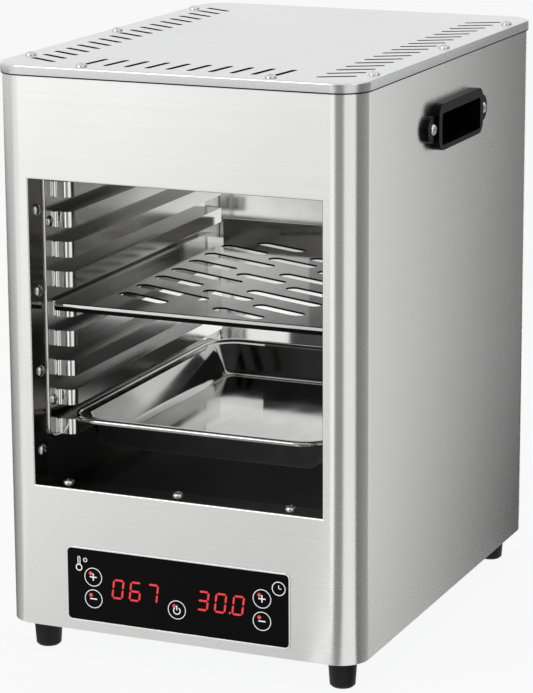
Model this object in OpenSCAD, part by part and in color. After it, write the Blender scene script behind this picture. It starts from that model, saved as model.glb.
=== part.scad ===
// Electric fish roaster: an open-fronted stainless cabinet with nine pressed ledges on each
// side, a slotted rack and a drip pan that slide out, and a glass touch panel below.
// The origin is on the table, under the middle of the cabinet. +Z is up and -Y is the front.

/* [Housing] */
// Width across the side sheets
body_w = 270; // [269:1:330]
// Depth from the front sheet to the rear corners
body_d = 362; // [350:1:420]
// Height of the cabinet above its feet, cover included
body_h = 400; // [398:1:440]
// Outside radius of the four upright corners
corner_r = 21; // [16:0.5:24]
// Thickness of the housing sheet
sheet_t = 1.2; // [0.8:0.1:1.6]
// Width of the flange folded in along the top edge
top_flange = 16; // [14:0.5:20]
// Width of each rear corner beside the opening of the back
back_edge = 24; // [23:0.5:30]
// Depth at which the back panel sits inside the rear edge
back_inset = 9; // [8:0.5:12]
// Width of the rear flanges that the back panel is screwed to
back_flange = 12; // [11:0.5:14]
// Height of the lowest screws of the back panel
back_screw_z = 24; // [20:1:30]

/* [Window] */
// Width of the window in the front sheet
window_w = 218; // [214:1:218]
// Height of the window
window_h = 218; // [214:1:222]
// Height of the window's sill above the lower edge of the cabinet
sill_h = 103.4; // [102:0.1:106]
// Depth of the jambs folded in round the window
jamb_d = 20; // [18:0.5:20]
// Height of the lowest jamb screw above the sill
jamb_screw_z = 22; // [18:1:26]
// Distance between jamb screws
jamb_screw_pitch = 57.4; // [50:0.2:60]
// Distance between sill screws
sill_screw_pitch = 84.8; // [78:0.2:88]
// Sideways offset of the row of sill screws
sill_screw_off = -4.7; // [-6:0.1:6]

/* [Cover] */
// Height of the skirt of the cover
cover_skirt = 7.6; // [6:0.2:10]
// Thickness of the cover sheet
cover_t = 1.2; // [1:0.1:1.6]
// Clearance between the skirt and the housing
cover_gap = 0.1; // [0.05:0.05:0.3]
// Length of a side vent slot
vent_l = 27; // [22:0.5:30]
// Width of the vent slots
vent_w = 4.2; // [3:0.1:5]
// Slant of the side vent slots in degrees
vent_slant = 29; // [20:1:35]
// Distance of a side row's last slots from the ends of the cabinet
vent_ends = 34.8; // [33:0.1:44]
// Number of side vent slots in each row
vent_n = 18; // [14:1:18]
// Distance of the side rows from the edge of the cabinet
vent_side = 26.5; // [24:0.5:30]
// Shift of the side rows along the cabinet
vent_off = -8; // [-12:0.5:0]
// Length of a front vent slot
vent_front_l = 30; // [24:0.5:32]
// Distance between front vent slots
vent_front_pitch = 15.6; // [14:0.1:16]
// Number of front vent slots
vent_front_n = 10; // [8:1:10]
// Distance of the front row's middle from the front sheet
vent_front = 30; // [29:0.5:32]
// Angle of the front vent slots in degrees
vent_front_turn = 84; // [80:1:90]
// Distance of the cover's screws from the edge of the cabinet
cover_screw_in = 7.2; // [6.5:0.1:9]
// Distance of the outer side screws from the ends of the cabinet
cover_screw_end = 45; // [36:1:60]
// Distance of the front screws from the middle
cover_screw_x = 69.6; // [60:0.2:80]

/* [Cavity] */
// Thickness of the cavity lining
liner_t = 1; // [0.8:0.1:1.4]
// Depth of the space between the cavity's back wall and the rear corners
rear_space = 43; // [41:1:50]
// Height of the cavity's ceiling above the window's head
ceiling_rise = 23.6; // [22:0.2:28]
// How far the lining laps the jambs
jamb_lap = 14; // [12:0.5:16]
// Thickness of the side insulation
side_wool = 6; // [5:0.2:6.6]
// Thickness of the roof insulation
roof_wool = 18; // [14:1:24]
// Thickness of the rear insulation
back_wool = 12; // [9:0.5:14]
// Bare margin round each mat of insulation
wool_margin = 4; // [2:0.5:6]

/* [Ledge panels] */
// Number of pressed ledges on each side
ledge_n = 9; // [6:1:9]
// Distance of the highest ledge's top below the window's head
last_ledge = 8.3; // [4:0.1:16]
// Height of one ledge
ledge_h = 11.1; // [9:0.1:12]
// Height of the lowest ledge's top above the sill
first_ledge = 38.5; // [34:0.5:39.5]
// How far a ledge stands in from its panel
ledge_reach = 13; // [10:0.5:14]
// Radius of the rounded ends of a ledge
ledge_nose = 6; // [4:0.5:7]
// Fillet between a ledge's end and its panel
ledge_fillet = 3; // [2:0.25:3.5]
// Sheet thickness of the ledge panels
runner_t = 1.2; // [0.8:0.1:1.2]
// Gap between the jamb and the front edge of a panel
runner_gap = 1.5; // [1:0.1:2]
// Distance from a panel's front edge to its ledges
ledge_front = 17.5; // [17:0.5:20]
// Distance from a panel's rear edge to its ledges
ledge_back = 19; // [14:0.5:24]
// Radius of the panel's lower front corner
runner_corner = 12; // [8:1:14]
// Height of the panel below the lowest ledge
runner_foot = 1.5; // [1:0.5:4]
// Height of the panel above the highest ledge
runner_head = 15; // [10:0.5:16]
// Distance from a panel's front edge to its screws
runner_screw_y = 9.5; // [8.5:0.5:9.5]

/* [Rack and pan] */
// Clearance between the slotted rack and the ledge panels
rack_side = 4; // [3:0.5:6]
// Distance of the rack's back from the cavity's back wall
rack_rear = 29; // [20:0.5:32]
// Distance of the rack's front edge from the front sheet
rack_set = 25; // [22:0.5:26]
// Sheet thickness of the rack
rack_t = 1.4; // [1:0.1:1.8]
// Corner radius of the rack
rack_corner = 3; // [2:0.5:5]
// Ledge that carries the rack, counted from the lowest
rack_level = 5; // [4:1:6]
// Depth of the lip folded down along the rack's front
rack_lip = 4; // [3:0.5:5]
// Height of the wall turned up along the rack's back
rack_back_h = 13; // [8:0.5:14]
// Width of the wall turned up along the rack's back
rack_back_w = 184; // [170:1:186]
// Width of the slots in the rack
slot_w = 11; // [8:0.5:13]
// Length of the short slots
slot_short = 47; // [40:1:50]
// Length of the long slots
slot_long = 71; // [64:1:74]
// Slant of the slots in degrees
slot_slant = -22; // [-26:1:-16]
// Distance of the rearmost short slots from the rack's back
slot_rear = 48; // [44:0.5:54]
// Distance of the outer ends of the slots from the sides of the rack
slot_side = 31.5; // [26:0.5:34]
// Distance of the foremost short slots from the rack's front
slot_front = 40; // [36:0.5:46]
// How far the long slots stand ahead on the left and back on the right
slot_skew = 6; // [0:0.5:8]
// Sideways offset of the pattern of slots
slot_off = -1.5; // [-2:0.1:2]
// Clearance under the rack where it lies on its ledge
rack_gap = 0.2; // [0.1:0.05:0.3]
// Clearance between the drip pan's rolled rim and the ledge panels
pan_side = 7; // [5:0.5:9]
// Distance of the pan's back from the cavity's back wall
pan_rear = 27; // [20:0.5:32]
// Distance of the pan's front from the front sheet
pan_set = 28; // [26:0.5:32]
// Depth of the pan below its rim
pan_h = 23; // [18:0.5:26]
// Outside corner radius of the pan's rim
pan_r = 28; // [24:0.5:32]
// Radius of the rolled rim
rim_r = 2.2; // [1.8:0.1:2.6]
// Width of the flat between the rolled rim and the pan's wall
pan_flange = 5.5; // [4:0.5:7]
// How far the pan's walls lean in from rim to floor
pan_draft = 7; // [5:0.5:10]
// Radius between the pan's floor and walls
pan_floor_r = 8; // [6:0.5:9]
// Sheet thickness of the pan
pan_t = 1; // [0.8:0.1:1.4]
// Clearance under the pan's rim where it lies on its ledge
pan_gap = 0.3; // [0.2:0.05:0.4]
// Ledge that carries the pan, counted from the lowest
pan_level = 1; // [1:1:2]

/* [Touch panel] */
// Width of the glass
panel_w = 168.6; // [160:0.2:172]
// Height of the glass
panel_h = 52.2; // [48:0.2:54]
// Height of the glass above the lower edge of the cabinet
panel_z = 8.2; // [8:0.1:10]
// Corner radius of the glass
panel_r = 3; // [2:0.5:5]
// Thickness of the glass
glass_t = 3; // [2:0.5:4]
// Width of the bright surround
bezel_w = 1.2; // [1:0.1:1.6]
// How far the surround stands proud of the front sheet
bezel_proud = 0.5; // [0.3:0.1:1]
// Clearance round the glass and its surround
panel_gap = 0.1; // [0.05:0.05:0.2]
// Depth of the tray behind the glass
tray_d = 20; // [18:1:24]
// Wall of the tray behind the glass
tray_t = 2; // [1.5:0.25:2.5]
// Bare margin of glass round the board behind it
board_edge = 4; // [3:0.5:6]
// Distance of the board's posts from the sides of the glass
post_in = 9; // [8:0.5:12]
// Radius of the board's posts
post_r = 3; // [2:0.5:4]
// Thickness of the display modules
display_t = 7.2; // [5:0.2:9]
// Width of a display module
display_w = 37.6; // [34:0.2:40]
// Height of a display module
display_h = 19; // [17:0.5:22]
// Distance of the displays from the middle of the glass
display_x = 32.2; // [28:0.2:36]
// Distance of the outer touch keys from the sides of the glass
key_side = 19.8; // [16:0.2:24]
// Height of the upper touch keys above the middle of the glass
key_up = 6.4; // [5:0.2:9]
// Depth of the lower touch keys below the middle of the glass
key_down = 9.6; // [8:0.2:12]
// Radius of a touch spring
key_r = 4; // [3:0.5:5]
// Radius of the buzzer
buzzer_r = 6; // [4:0.5:8]
// Thickness of the buzzer
buzzer_t = 7; // [4:0.5:8]

/* [Grips] */
// Length of a grip's frame
grip_l = 92; // [86:1:100]
// Height of a grip's frame
grip_h = 33; // [30:1:38]
// Distance of the grips' middle below the top of the cabinet
grip_drop = 49.5; // [48:0.5:60]
// How far a grip's frame stands proud
grip_proud = 6.5; // [5:0.5:8]
// Clearance between a grip's finger recess and the insulation
grip_clear = 1.3; // [1:0.1:3]
// Corner radius of a grip's frame
grip_r = 9; // [6:0.5:12]
// Width of the frame at the ends of the finger opening
grip_end = 6; // [5:0.5:8]
// Width of the frame above the finger opening
grip_top = 7; // [6:0.5:9]
// Width of the frame below the finger opening
grip_bottom = 3.5; // [3.5:0.5:6]
// Wall of the recess
grip_wall = 1.6; // [1.2:0.1:2]
// Clearance between the recess and the side sheet
grip_gap = 0.2; // [0.1:0.05:0.4]
// Distance of a grip's screws from its middle
grip_screw = 52; // [51:0.5:56]
// Radius of the lugs at the ends of a grip
lug_r = 9.5; // [8:0.5:11]
// Thickness of the lugs
lug_t = 4; // [3:0.5:5]

/* [Feet and base] */
// Height of the feet
foot_h = 23; // [18:1:30]
// Radius of a foot at its top
foot_r = 10.5; // [9:0.5:13]
// Radius of a foot at its bottom
foot_r2 = 9; // [8:0.5:11]
// Height of the bevel round a foot's bottom
foot_bevel = 1.5; // [0.5:0.25:2]
// Length of rubber between a foot's screw head and the base plate
foot_neck = 8; // [6:0.5:10]
// Distance of the feet from the sides of the cabinet
foot_side = 21; // [20:0.5:30]
// Distance of the feet from the ends of the cabinet
foot_end = 25; // [22:0.5:40]
// Height of the base plate's upturned edge
base_rim = 9; // [8:1:16]
// Clearance round the base plate
base_gap = 0.1; // [0.05:0.05:0.3]
// Width of the brackets between base plate and cavity floor
leg_w = 30; // [24:1:36]
// Length of a bracket's flanges
leg_flange = 14; // [12:1:18]
// Sheet thickness of the brackets
leg_t = 1.5; // [1.2:0.1:2]
// Distance of the brackets from the sides of the cavity
leg_in = 12; // [8:1:20]
// Depth at which the front brackets stand before the middle
leg_front = 78; // [70:1:100]
// Length of the louvre slots in the base and the back
louvre_l = 32; // [24:1:36]
// Width of the louvre slots
louvre_w = 4; // [3:0.5:5]
// Distance between louvre slots
louvre_pitch = 14; // [12:0.5:18]
// Number of louvre slots on each side of a row's middle one
louvre_half = 5; // [3:1:5]
// Distance of the base's rows of louvres from the ends of the cabinet
louvre_end = 63; // [60:1:80]
// Height of the low row of louvres in the back
louvre_low = 78; // [70:1:90]
// Distance of the high row of louvres in the back below the top of the cabinet
louvre_drop = 68; // [60:1:90]

/* [Heating] */
// Radius of the heater tube
tube_r = 4; // [3:0.25:4.5]
// Distance of a hairpin's middle from the middle of the cavity
hairpin_x = 52.5; // [48:0.5:56]
// Distance from a hairpin's middle to its legs
hairpin_half = 22.5; // [18:0.5:24]
// Distance from the front sheet to the bend of the hairpins
hairpin_front = 66; // [60:1:90]
// Depth of the tube's axis below the cavity's ceiling
tube_drop = 13; // [12:0.5:13.5]
// Distance from the ceiling to the underside of the reflector
reflector_drop = 5; // [4:0.5:6]
// Radial clearance of the heater tube in its holes
tube_fit = 0.05; // [0.03:0.01:0.1]
// Length of the heater tube behind the back wall
tube_tail = 18; // [16:1:20]
// Radius of the temperature probe
probe_r = 2.5; // [2:0.25:3]
// Length of the probe inside the cavity
probe_l = 38; // [25:1:50]
// Radius of the cold pins that leave the heater tube
pin_r = 1.5; // [1:0.25:2]
// Length of the cold pins behind the heater tube
pin_l = 12; // [8:1:14]
// Thickness of the flange that holds a hairpin to the back wall
flange_t = 2; // [1.5:0.25:3]
// Width of the heaters' flanges
flange_w = 18; // [14:1:22]
// Width of the clips that hold the hairpins at the front
clip_w = 14; // [12:1:18]
// Thickness of the clips
clip_t = 1.5; // [1:0.25:2]
// Distance of the clips behind the bend of the hairpins
clip_back = 14; // [8:1:20]
// Radius of the ceramic beads on the cold pins
bead_r = 5; // [4:0.5:6]
// Length of the ceramic beads
bead_l = 7; // [5:0.5:9]
// How far the reflector reaches past the hairpins
reflector_over = 14; // [10:1:16]
// Radius of the over-heat cut-out
cutout_r = 8; // [6:0.5:9]
// Thickness, length and width of the cut-out's two blade terminals
blade_size = [0.8, 8, 6];
// Depth of the over-heat cut-out below the heaters
cutout_drop = 44; // [36:1:60]

/* [Electronics] */
// Width of the power board
board_w = 110; // [90:1:120]
// Depth of the power board
board_d = 84; // [70:1:90]
// Height of the standoffs under the power board
standoff_h = 8; // [5:1:12]
// Distance of the standoffs from the board's edges
standoff_in = 6; // [5:0.5:9]
// Thickness of the circuit boards
pcb_t = 1.6; // [1:0.2:2]
// Distance of the power board behind the middle of the cabinet
board_mid = 30; // [10:1:50]
// Width, depth and height of the relay
relay_size = [20, 16, 16];
// Width, depth and height of the transformer's windings
winding_size = [32, 28, 20];
// Width, depth and height of the transformer's core
core_size = [22, 38, 26];
// Width, depth and height of the terminal block
terminal_size = [48, 14, 15];
// Distance between the terminals
terminal_pitch = 9; // [7:0.5:9]
// Radius of the mains lead's hole in its bushing
lead_r = 4; // [3:0.25:4.5]
// Outside radius of the bushing's flange
bushing_r = 11; // [10:0.5:13]
// Thickness of the bushing's flange
bushing_t = 2.5; // [2:0.25:3]
// Length of the bushing's tapered nose
bushing_nose = 4; // [3:0.5:5]
// Length of the bushing inside the back panel
bushing_tail = 8; // [5:0.5:10]
// Distance of the bushing from the middle
bushing_x = 78; // [60:1:84]
// Height of the bushing above the lower edge of the cabinet
bushing_z = 40; // [30:1:44]

/* [Screws] */
// Radius of the pan heads
head_r = 4.1; // [3.5:0.1:4.5]
// Height of the pan heads
head_h = 2.4; // [1.8:0.1:3]
// Radius of the screw shanks
shank_r = 1.9; // [1.4:0.1:2]
// Length of the screw shanks
shank_l = 5; // [4.5:0.5:6]
// Clearance of the shanks in their holes
shank_gap = 0.1; // [0.05:0.05:0.2]

/* [Hidden] */
$fn = 48;
eps = 0.01;
far = 500;

back_open = body_w - 2 * back_edge;
foot_x = body_w / 2 - foot_side;
foot_y = body_d / 2 - foot_end;
louvre_y = body_d / 2 - louvre_end;
vent_pitch = (body_d - 2 * vent_ends) / (vent_n - 1);
hole_r = shank_r + shank_gap;
head_room = head_r + 0.6;
front_y = -body_d / 2;
wrap_h = body_h - cover_t;

// window and jambs
win_x = window_w / 2;
win_top = sill_h + window_h;
jamb_y = front_y + jamb_d;
jamb_screw_y = front_y + jamb_d * 0.6;
jamb_n = floor((window_h - jamb_screw_z - head_r) / jamb_screw_pitch) + 1;

// cavity
wall_x = win_x + sheet_t;
wall_out = wall_x + liner_t;
floor_z = sill_h - sheet_t;
ceil_z = win_top + ceiling_rise;
cav_back = body_d / 2 - rear_space;
lap_y = jamb_y - jamb_lap;

// ledge panels: x is measured in from the panel's inner face
runner_x = wall_x - runner_t;
runner_y0 = jamb_y + runner_gap;
runner_y1 = cav_back - 1;
ledge_y0 = runner_y0 + ledge_front;
ledge_y1 = runner_y1 - ledge_back;
ledge_pitch = (window_h - first_ledge - last_ledge) / (ledge_n - 1);
runner_z0 = sill_h + first_ledge - ledge_h - runner_foot;
runner_z1 = ledge_top(ledge_n) + runner_head;
runner_screw_zs = [ledge_top(2) - ledge_h / 2, ledge_top(ledge_n - 1) - ledge_h / 2];

// rack and pan
rack_w = window_w - 2 * rack_side;
rack_y = front_y + rack_set;
rack_d = cav_back - rack_rear - rack_y;
slot_row = rack_d / 2 - slot_rear;
slot_reach = rack_w / 2 - slot_side;
slot_pitch = (rack_d - slot_rear - slot_front) / 3;
pan_w = window_w - 2 * pan_side;
pan_d = cav_back - pan_rear - front_y - pan_set;
rack_z = ledge_top(rack_level) + rack_gap;
pan_y = front_y + pan_set + pan_d / 2;
rim_z = ledge_top(pan_level) + pan_gap + rim_r;

// touch panel
panel_mid = panel_z + panel_h / 2;
glass_y = front_y - bezel_proud / 2;
glass_back = glass_y + glass_t;
board_y = glass_back + display_t;
key_x = panel_w / 2 - key_side;
tray_y = front_y + sheet_t;

// grips
grip_z = body_h - grip_drop;
grip_depth = body_w / 2 - wall_out - side_wool - grip_clear;
open_l = grip_l - 2 * grip_end;
open_h = grip_h - grip_top - grip_bottom;
open_z = (grip_bottom - grip_top) / 2;

// heating
tube_z = ceil_z - tube_drop;
reflector_z = ceil_z - reflector_drop;
reflector_x = hairpin_x + hairpin_half + reflector_over;
leg_xs = [for (s = [-1, 1], t = [-1, 1]) s * hairpin_x + t * hairpin_half];
bend_y = front_y + hairpin_front;
tube_end = cav_back + liner_t + tube_tail;
nut_r = 2.4 * probe_r;

// base and back
panel_y = body_d / 2 - back_inset;
base_y1 = panel_y - sheet_t - base_gap;
back_w = back_open - 1;
back_screw_x = back_open / 2 - back_flange / 2;
back_screw_zs = [for (k = [0:3]) back_screw_z + k * (wrap_h - top_flange - 2 * back_screw_z) / 3];
bushing_neck = bushing_r - 3;

function ledge_top(level) = sill_h + first_ledge + (level - 1) * ledge_pitch;

module on_feet() { translate([0, 0, foot_h]) children(); }
module both_sides() { children(); mirror([1, 0, 0]) children(); }

// flat rectangle with round corners, centred
module rounded(w, d, r) {
    square([w - 2 * r, d], center = true);
    square([w, d - 2 * r], center = true);
    for (x = [-1, 1], y = [-1, 1]) translate([x * (w / 2 - r), y * (d / 2 - r)]) circle(r);
}

// flat slot with round ends, centred
module slot(len, wid) {
    square([len - wid, wid], center = true);
    for (x = [-1, 1]) translate([x * (len - wid) / 2, 0]) circle(wid / 2);
}

// plate cut from an outline drawn in X and Z, with its front face at y
module upright(y, t) { translate([0, y + t, 0]) rotate([90, 0, 0]) linear_extrude(t) children(); }

// plate cut from an outline drawn in Y and Z, with its inner face at x = 0
module sideways(t) { rotate([90, 0, 90]) linear_extrude(t) children(); }

// cylinder along +Y from the plane y = 0
module rearward(r, l) { rotate([-90, 0, 0]) cylinder(r = r, h = l); }

// pan-head screw: the head sits on the plane z = 0 and the shank goes down
module pan_screw(l = shank_l) {
    translate([0, 0, -l]) cylinder(r = shank_r, h = l + eps);
    cap_r = (head_r * head_r + head_h * head_h) / (2 * head_h);
    intersection() {
        cylinder(r = head_r, h = head_h);
        translate([0, 0, head_h - cap_r]) sphere(cap_r);
    }
}

// where each group of screws sits; the children point along +Z of the screw
module at_cover_screws() {
    x = body_w / 2 - cover_screw_in;
    for (s = [-1, 1], k = [-1:1]) translate([s * x, k * (body_d / 2 - cover_screw_end), body_h]) children();
    y = front_y + cover_screw_in;
    for (s = [-1, 1]) translate([s * cover_screw_x, y, body_h]) children();
}
module at_jamb_screws() {
    both_sides() for (k = [0:jamb_n - 1])
        translate([-win_x, jamb_screw_y, sill_h + jamb_screw_z + k * jamb_screw_pitch])
            rotate([0, 90, 0]) children();
}
module at_sill_screws() {
    for (k = [-1:1]) translate([sill_screw_off + k * sill_screw_pitch, jamb_screw_y + 2, sill_h])
        children();
}
module at_runner_screws() {
    both_sides() for (z = runner_screw_zs)
        translate([-runner_x, runner_y0 + runner_screw_y, z]) rotate([0, 90, 0]) children();
}
module at_back_screws() {
    both_sides() for (z = back_screw_zs)
        translate([-back_screw_x, panel_y + sheet_t, z]) rotate([-90, 0, 0]) children();
}
module at_grip_screws() {
    both_sides() for (s = [-1, 1])
        translate([-body_w / 2 - lug_t, s * grip_screw, grip_z]) rotate([0, -90, 0]) children();
}
module at_feet() {
    for (x = [-1, 1], y = [-1, 1]) translate([x * foot_x, y * foot_y, 0]) children();
}

// ---------- housing ----------

// one lip at the rear: folded forward, then in, as the seat of the back panel
module rear_lip() {
    x = back_open / 2;
    translate([x, panel_y - sheet_t]) square([sheet_t, back_inset + sheet_t]);
    translate([x - back_flange, panel_y - sheet_t]) square([back_flange + sheet_t, sheet_t]);
}

// folds round the window: jambs, head and sill
module window_folds() {
    both_sides() translate([win_x, front_y, floor_z]) cube([sheet_t, jamb_d, window_h + 2 * sheet_t]);
    for (z = [floor_z, win_top])
        translate([-win_x - eps, front_y, z]) cube([window_w + 2 * eps, jamb_d, sheet_t]);
}

module housing_wrap() color("gainsboro") on_feet() difference() {
    union() {
        linear_extrude(wrap_h) {
            difference() {
                rounded(body_w, body_d, corner_r);
                rounded(body_w - 2 * sheet_t, body_d - 2 * sheet_t, corner_r - sheet_t);
                translate([-back_open / 2, 0]) square([back_open, body_d]);
            }
            both_sides() rear_lip();
        }
        translate([0, 0, wrap_h - sheet_t]) linear_extrude(sheet_t) difference() {
            rounded(body_w - eps, body_d - eps, corner_r);
            rounded(body_w - 2 * top_flange, body_d - 2 * top_flange, corner_r / 2);
            translate([-back_open / 2, 0]) square([back_open, body_d]);
        }
        window_folds();
    }
    translate([-win_x, front_y - 1, sill_h]) cube([window_w, jamb_d, window_h]);
    translate([0, 0, panel_mid]) upright(front_y - 1, sheet_t + 2)
        rounded(panel_cut(panel_w), panel_cut(panel_h), panel_r + bezel_w + panel_gap);
    both_sides() translate([-body_w / 2 - 1, 0, grip_z + open_z]) sideways(sheet_t + 2)
        rounded(grip_cut(open_l), grip_cut(open_h), grip_r - grip_end + grip_wall + grip_gap);
    at_cover_screws() translate([0, 0, -shank_l]) cylinder(r = hole_r, h = shank_l);
    at_jamb_screws() translate([0, 0, -shank_l]) cylinder(r = hole_r, h = 2 * shank_l);
    at_sill_screws() translate([0, 0, -shank_l]) cylinder(r = hole_r, h = 2 * shank_l);
    at_back_screws() translate([0, 0, -shank_l]) cylinder(r = hole_r, h = shank_l);
    at_grip_screws() translate([0, 0, -shank_l - lug_t]) cylinder(r = hole_r, h = shank_l + lug_t);
}

function panel_cut(size) = size + 2 * (bezel_w + 2 * panel_gap);
function grip_cut(size) = size + 2 * (grip_wall + grip_gap);

module side_vents() {
    for (k = [0:vent_n - 1])
        translate([-body_w / 2 + vent_side, (k - (vent_n - 1) / 2) * vent_pitch + vent_off])
            rotate(-vent_slant) slot(vent_l, vent_w);
}

module top_cover() color("silver") on_feet() difference() {
    w = body_w + 2 * (cover_gap + cover_t);
    d = body_d + 2 * (cover_gap + cover_t);
    r = corner_r + cover_gap + cover_t;
    translate([0, 0, wrap_h - (cover_skirt - cover_t)]) linear_extrude(cover_skirt) rounded(w, d, r);
    translate([0, 0, wrap_h - cover_skirt]) linear_extrude(cover_skirt)
        rounded(w - 2 * cover_t, d - 2 * cover_t, r - cover_t);
    translate([0, 0, wrap_h - 1]) linear_extrude(cover_t + 2) {
        both_sides() side_vents();
        for (k = [0:vent_front_n - 1])
            translate([(k - (vent_front_n - 1) / 2) * vent_front_pitch, front_y + vent_front])
                rotate(vent_front_turn) slot(vent_front_l, vent_w);
    }
    at_cover_screws() translate([0, 0, -shank_l]) cylinder(r = hole_r, h = 2 * shank_l);
}

module cover_screws() color("silver") on_feet() at_cover_screws() pan_screw();

// ---------- base, back and feet ----------

module base_outline(inset) {
    w = body_w - 2 * (sheet_t + base_gap + inset);
    d = body_d - 2 * (sheet_t + base_gap + inset);
    intersection() {
        rounded(w, d, corner_r - sheet_t - base_gap - inset);
        translate([-w, -d]) square([2 * w, d + base_y1 - inset]);
    }
}

module base_plate() color("darkgray") on_feet() difference() {
    linear_extrude(base_rim) base_outline(0);
    translate([0, 0, sheet_t]) linear_extrude(base_rim) base_outline(sheet_t);
    // room for the tray behind the touch panel
    tray_w = panel_cut(panel_w) + 4 * tray_t;
    translate([-tray_w / 2, front_y, sheet_t]) cube([tray_w, 2 * sheet_t + 1, base_rim]);
    for (y = [-louvre_y, louvre_y]) translate([0, y, -1]) linear_extrude(sheet_t + 2) louvres();
    at_feet() translate([0, 0, -1]) cylinder(r = hole_r, h = sheet_t + 2);
}

// row of louvre slots, such as these cabinets have over their boards and behind their heaters
module louvres() for (k = [-louvre_half:louvre_half]) translate([k * louvre_pitch, 0]) rotate(90)
    slot(louvre_l, louvre_w);

module back_panel() color("silver") on_feet() difference() {
    translate([-back_w / 2, panel_y, 1]) cube([back_w, sheet_t, wrap_h - 2]);
    upright(panel_y - 1, sheet_t + 2) {
        for (z = [louvre_low, body_h - louvre_drop]) translate([0, z]) louvres();
        translate([bushing_x, bushing_z]) circle(bushing_neck);
    }
    at_back_screws() translate([0, 0, -shank_l]) cylinder(r = hole_r, h = 2 * shank_l);
}

module back_screws() color("silver") on_feet() at_back_screws() pan_screw();

module cord_bushing() color("black") on_feet() translate([bushing_x, panel_y + sheet_t, bushing_z])
    rotate([-90, 0, 0]) difference() {
        union() {
            translate([0, 0, -bushing_tail]) cylinder(r = bushing_neck - base_gap, h = bushing_tail + 1);
            cylinder(r = bushing_r, h = bushing_t);
            translate([0, 0, bushing_t - eps])
                cylinder(r1 = bushing_neck, r2 = (bushing_neck + lead_r) / 2, h = bushing_nose + eps);
        }
        translate([0, 0, -bushing_tail - 1]) cylinder(r = lead_r, h = far);
    }

module feet() color("black") at_feet() difference() {
    union() {
        cylinder(r1 = foot_r2 - foot_bevel, r2 = foot_r2, h = foot_bevel);
        translate([0, 0, foot_bevel - eps])
            cylinder(r1 = foot_r2, r2 = foot_r, h = foot_h - foot_bevel + eps);
    }
    translate([0, 0, -1]) cylinder(r = hole_r, h = foot_h + 2);
    translate([0, 0, -1]) cylinder(r = head_room, h = foot_h - foot_neck + 1);
}

module foot_screws() color("silver") at_feet() translate([0, 0, foot_h - foot_neck])
    rotate([180, 0, 0]) pan_screw(foot_neck + sheet_t + 2);

// ---------- cavity ----------

module chamber_shell() color("darkgray") on_feet() difference() {
    union() {
        both_sides() translate([wall_x, lap_y, floor_z - liner_t])
            cube([liner_t, cav_back - lap_y, ceil_z - floor_z + liner_t]);
        translate([-wall_out, jamb_y, ceil_z])
            cube([2 * wall_out, cav_back - jamb_y, liner_t]);
        translate([-wall_x - eps, jamb_y, win_top]) cube([2 * wall_x + 2 * eps, liner_t, ceil_z - win_top]);
    }
    at_jamb_screws() translate([0, 0, -shank_l]) cylinder(r = hole_r, h = shank_l);
    at_runner_screws() translate([0, 0, -shank_l]) cylinder(r = hole_r, h = shank_l);
}

module chamber_floor() color("dimgray") on_feet() difference() {
    translate([-wall_x, lap_y, floor_z - liner_t]) cube([2 * wall_x, cav_back - lap_y, liner_t]);
    at_sill_screws() translate([0, 0, -shank_l]) cylinder(r = hole_r, h = shank_l);
}

module chamber_back() color("darkgray") on_feet() difference() {
    z0 = floor_z - liner_t;
    translate([-wall_out, cav_back, z0]) cube([2 * wall_out, liner_t, ceil_z + liner_t - z0]);
    through_back(tube_r + tube_fit, probe_r + tube_fit);
}

// holes for the heater legs and the probe through what lies behind the cavity
module through_back(leg_hole, probe_hole) {
    for (x = leg_xs) translate([x, cav_back - 1, tube_z]) rearward(leg_hole, far);
    translate([0, cav_back - 1, tube_z]) rearward(probe_hole, far);
}

// Z-shaped bracket, its foot forward and its head back
module leg_profile(h) {
    square([leg_flange, leg_t]);
    translate([leg_flange - leg_t, 0]) square([leg_t, h]);
    translate([leg_flange - leg_t, h - leg_t]) square([leg_flange, leg_t]);
}

module chamber_legs() color("darkgray") on_feet()
    for (x = [-1, 1], y = [-leg_front, cav_back - 2 * leg_flange])
        translate([x * (wall_x - leg_w / 2 - leg_in) - leg_w / 2, y, sheet_t])
            sideways(leg_w) leg_profile(floor_z - liner_t - sheet_t);

// ---------- ledge panels ----------

// plan of one pressed ledge, t inside its outline: x runs in from the panel's face, from -back
module ledge_plan(t, back) {
    reach = ledge_reach - t;
    nose = ledge_nose - t;
    y0 = ledge_y0 + t;
    y1 = ledge_y1 - t;
    translate([-back, y0]) square([reach - nose + back, y1 - y0]);
    translate([0, y0 + nose]) square([reach, y1 - y0 - 2 * nose]);
    for (y = [y0 + nose, y1 - nose]) translate([reach - nose, y]) circle(nose);
}

// concave fillets where a ledge's ends meet the panel
module ledge_fillets() {
    f = ledge_fillet;
    for (e = [[ledge_y0, 1], [ledge_y1, 0]]) translate([0, e[0]]) mirror([0, e[1]]) difference() {
        translate([-runner_t, -eps]) square([f + runner_t, f + eps]);
        translate([f, f]) circle(f);
    }
}

// outline of the panel in Y and Z, with its lower corners rounded
module runner_outline() {
    r = runner_corner;
    difference() {
        translate([runner_y0, runner_z0]) square([runner_y1 - runner_y0, runner_z1 - runner_z0]);
        for (e = [[runner_y0, 1], [runner_y1, -1]]) difference() {
            translate([e[0] - (e[1] < 0 ? r : 0), runner_z0]) square(r);
            translate([e[0] + e[1] * r, runner_z0 + r]) circle(r);
        }
    }
}

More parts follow.
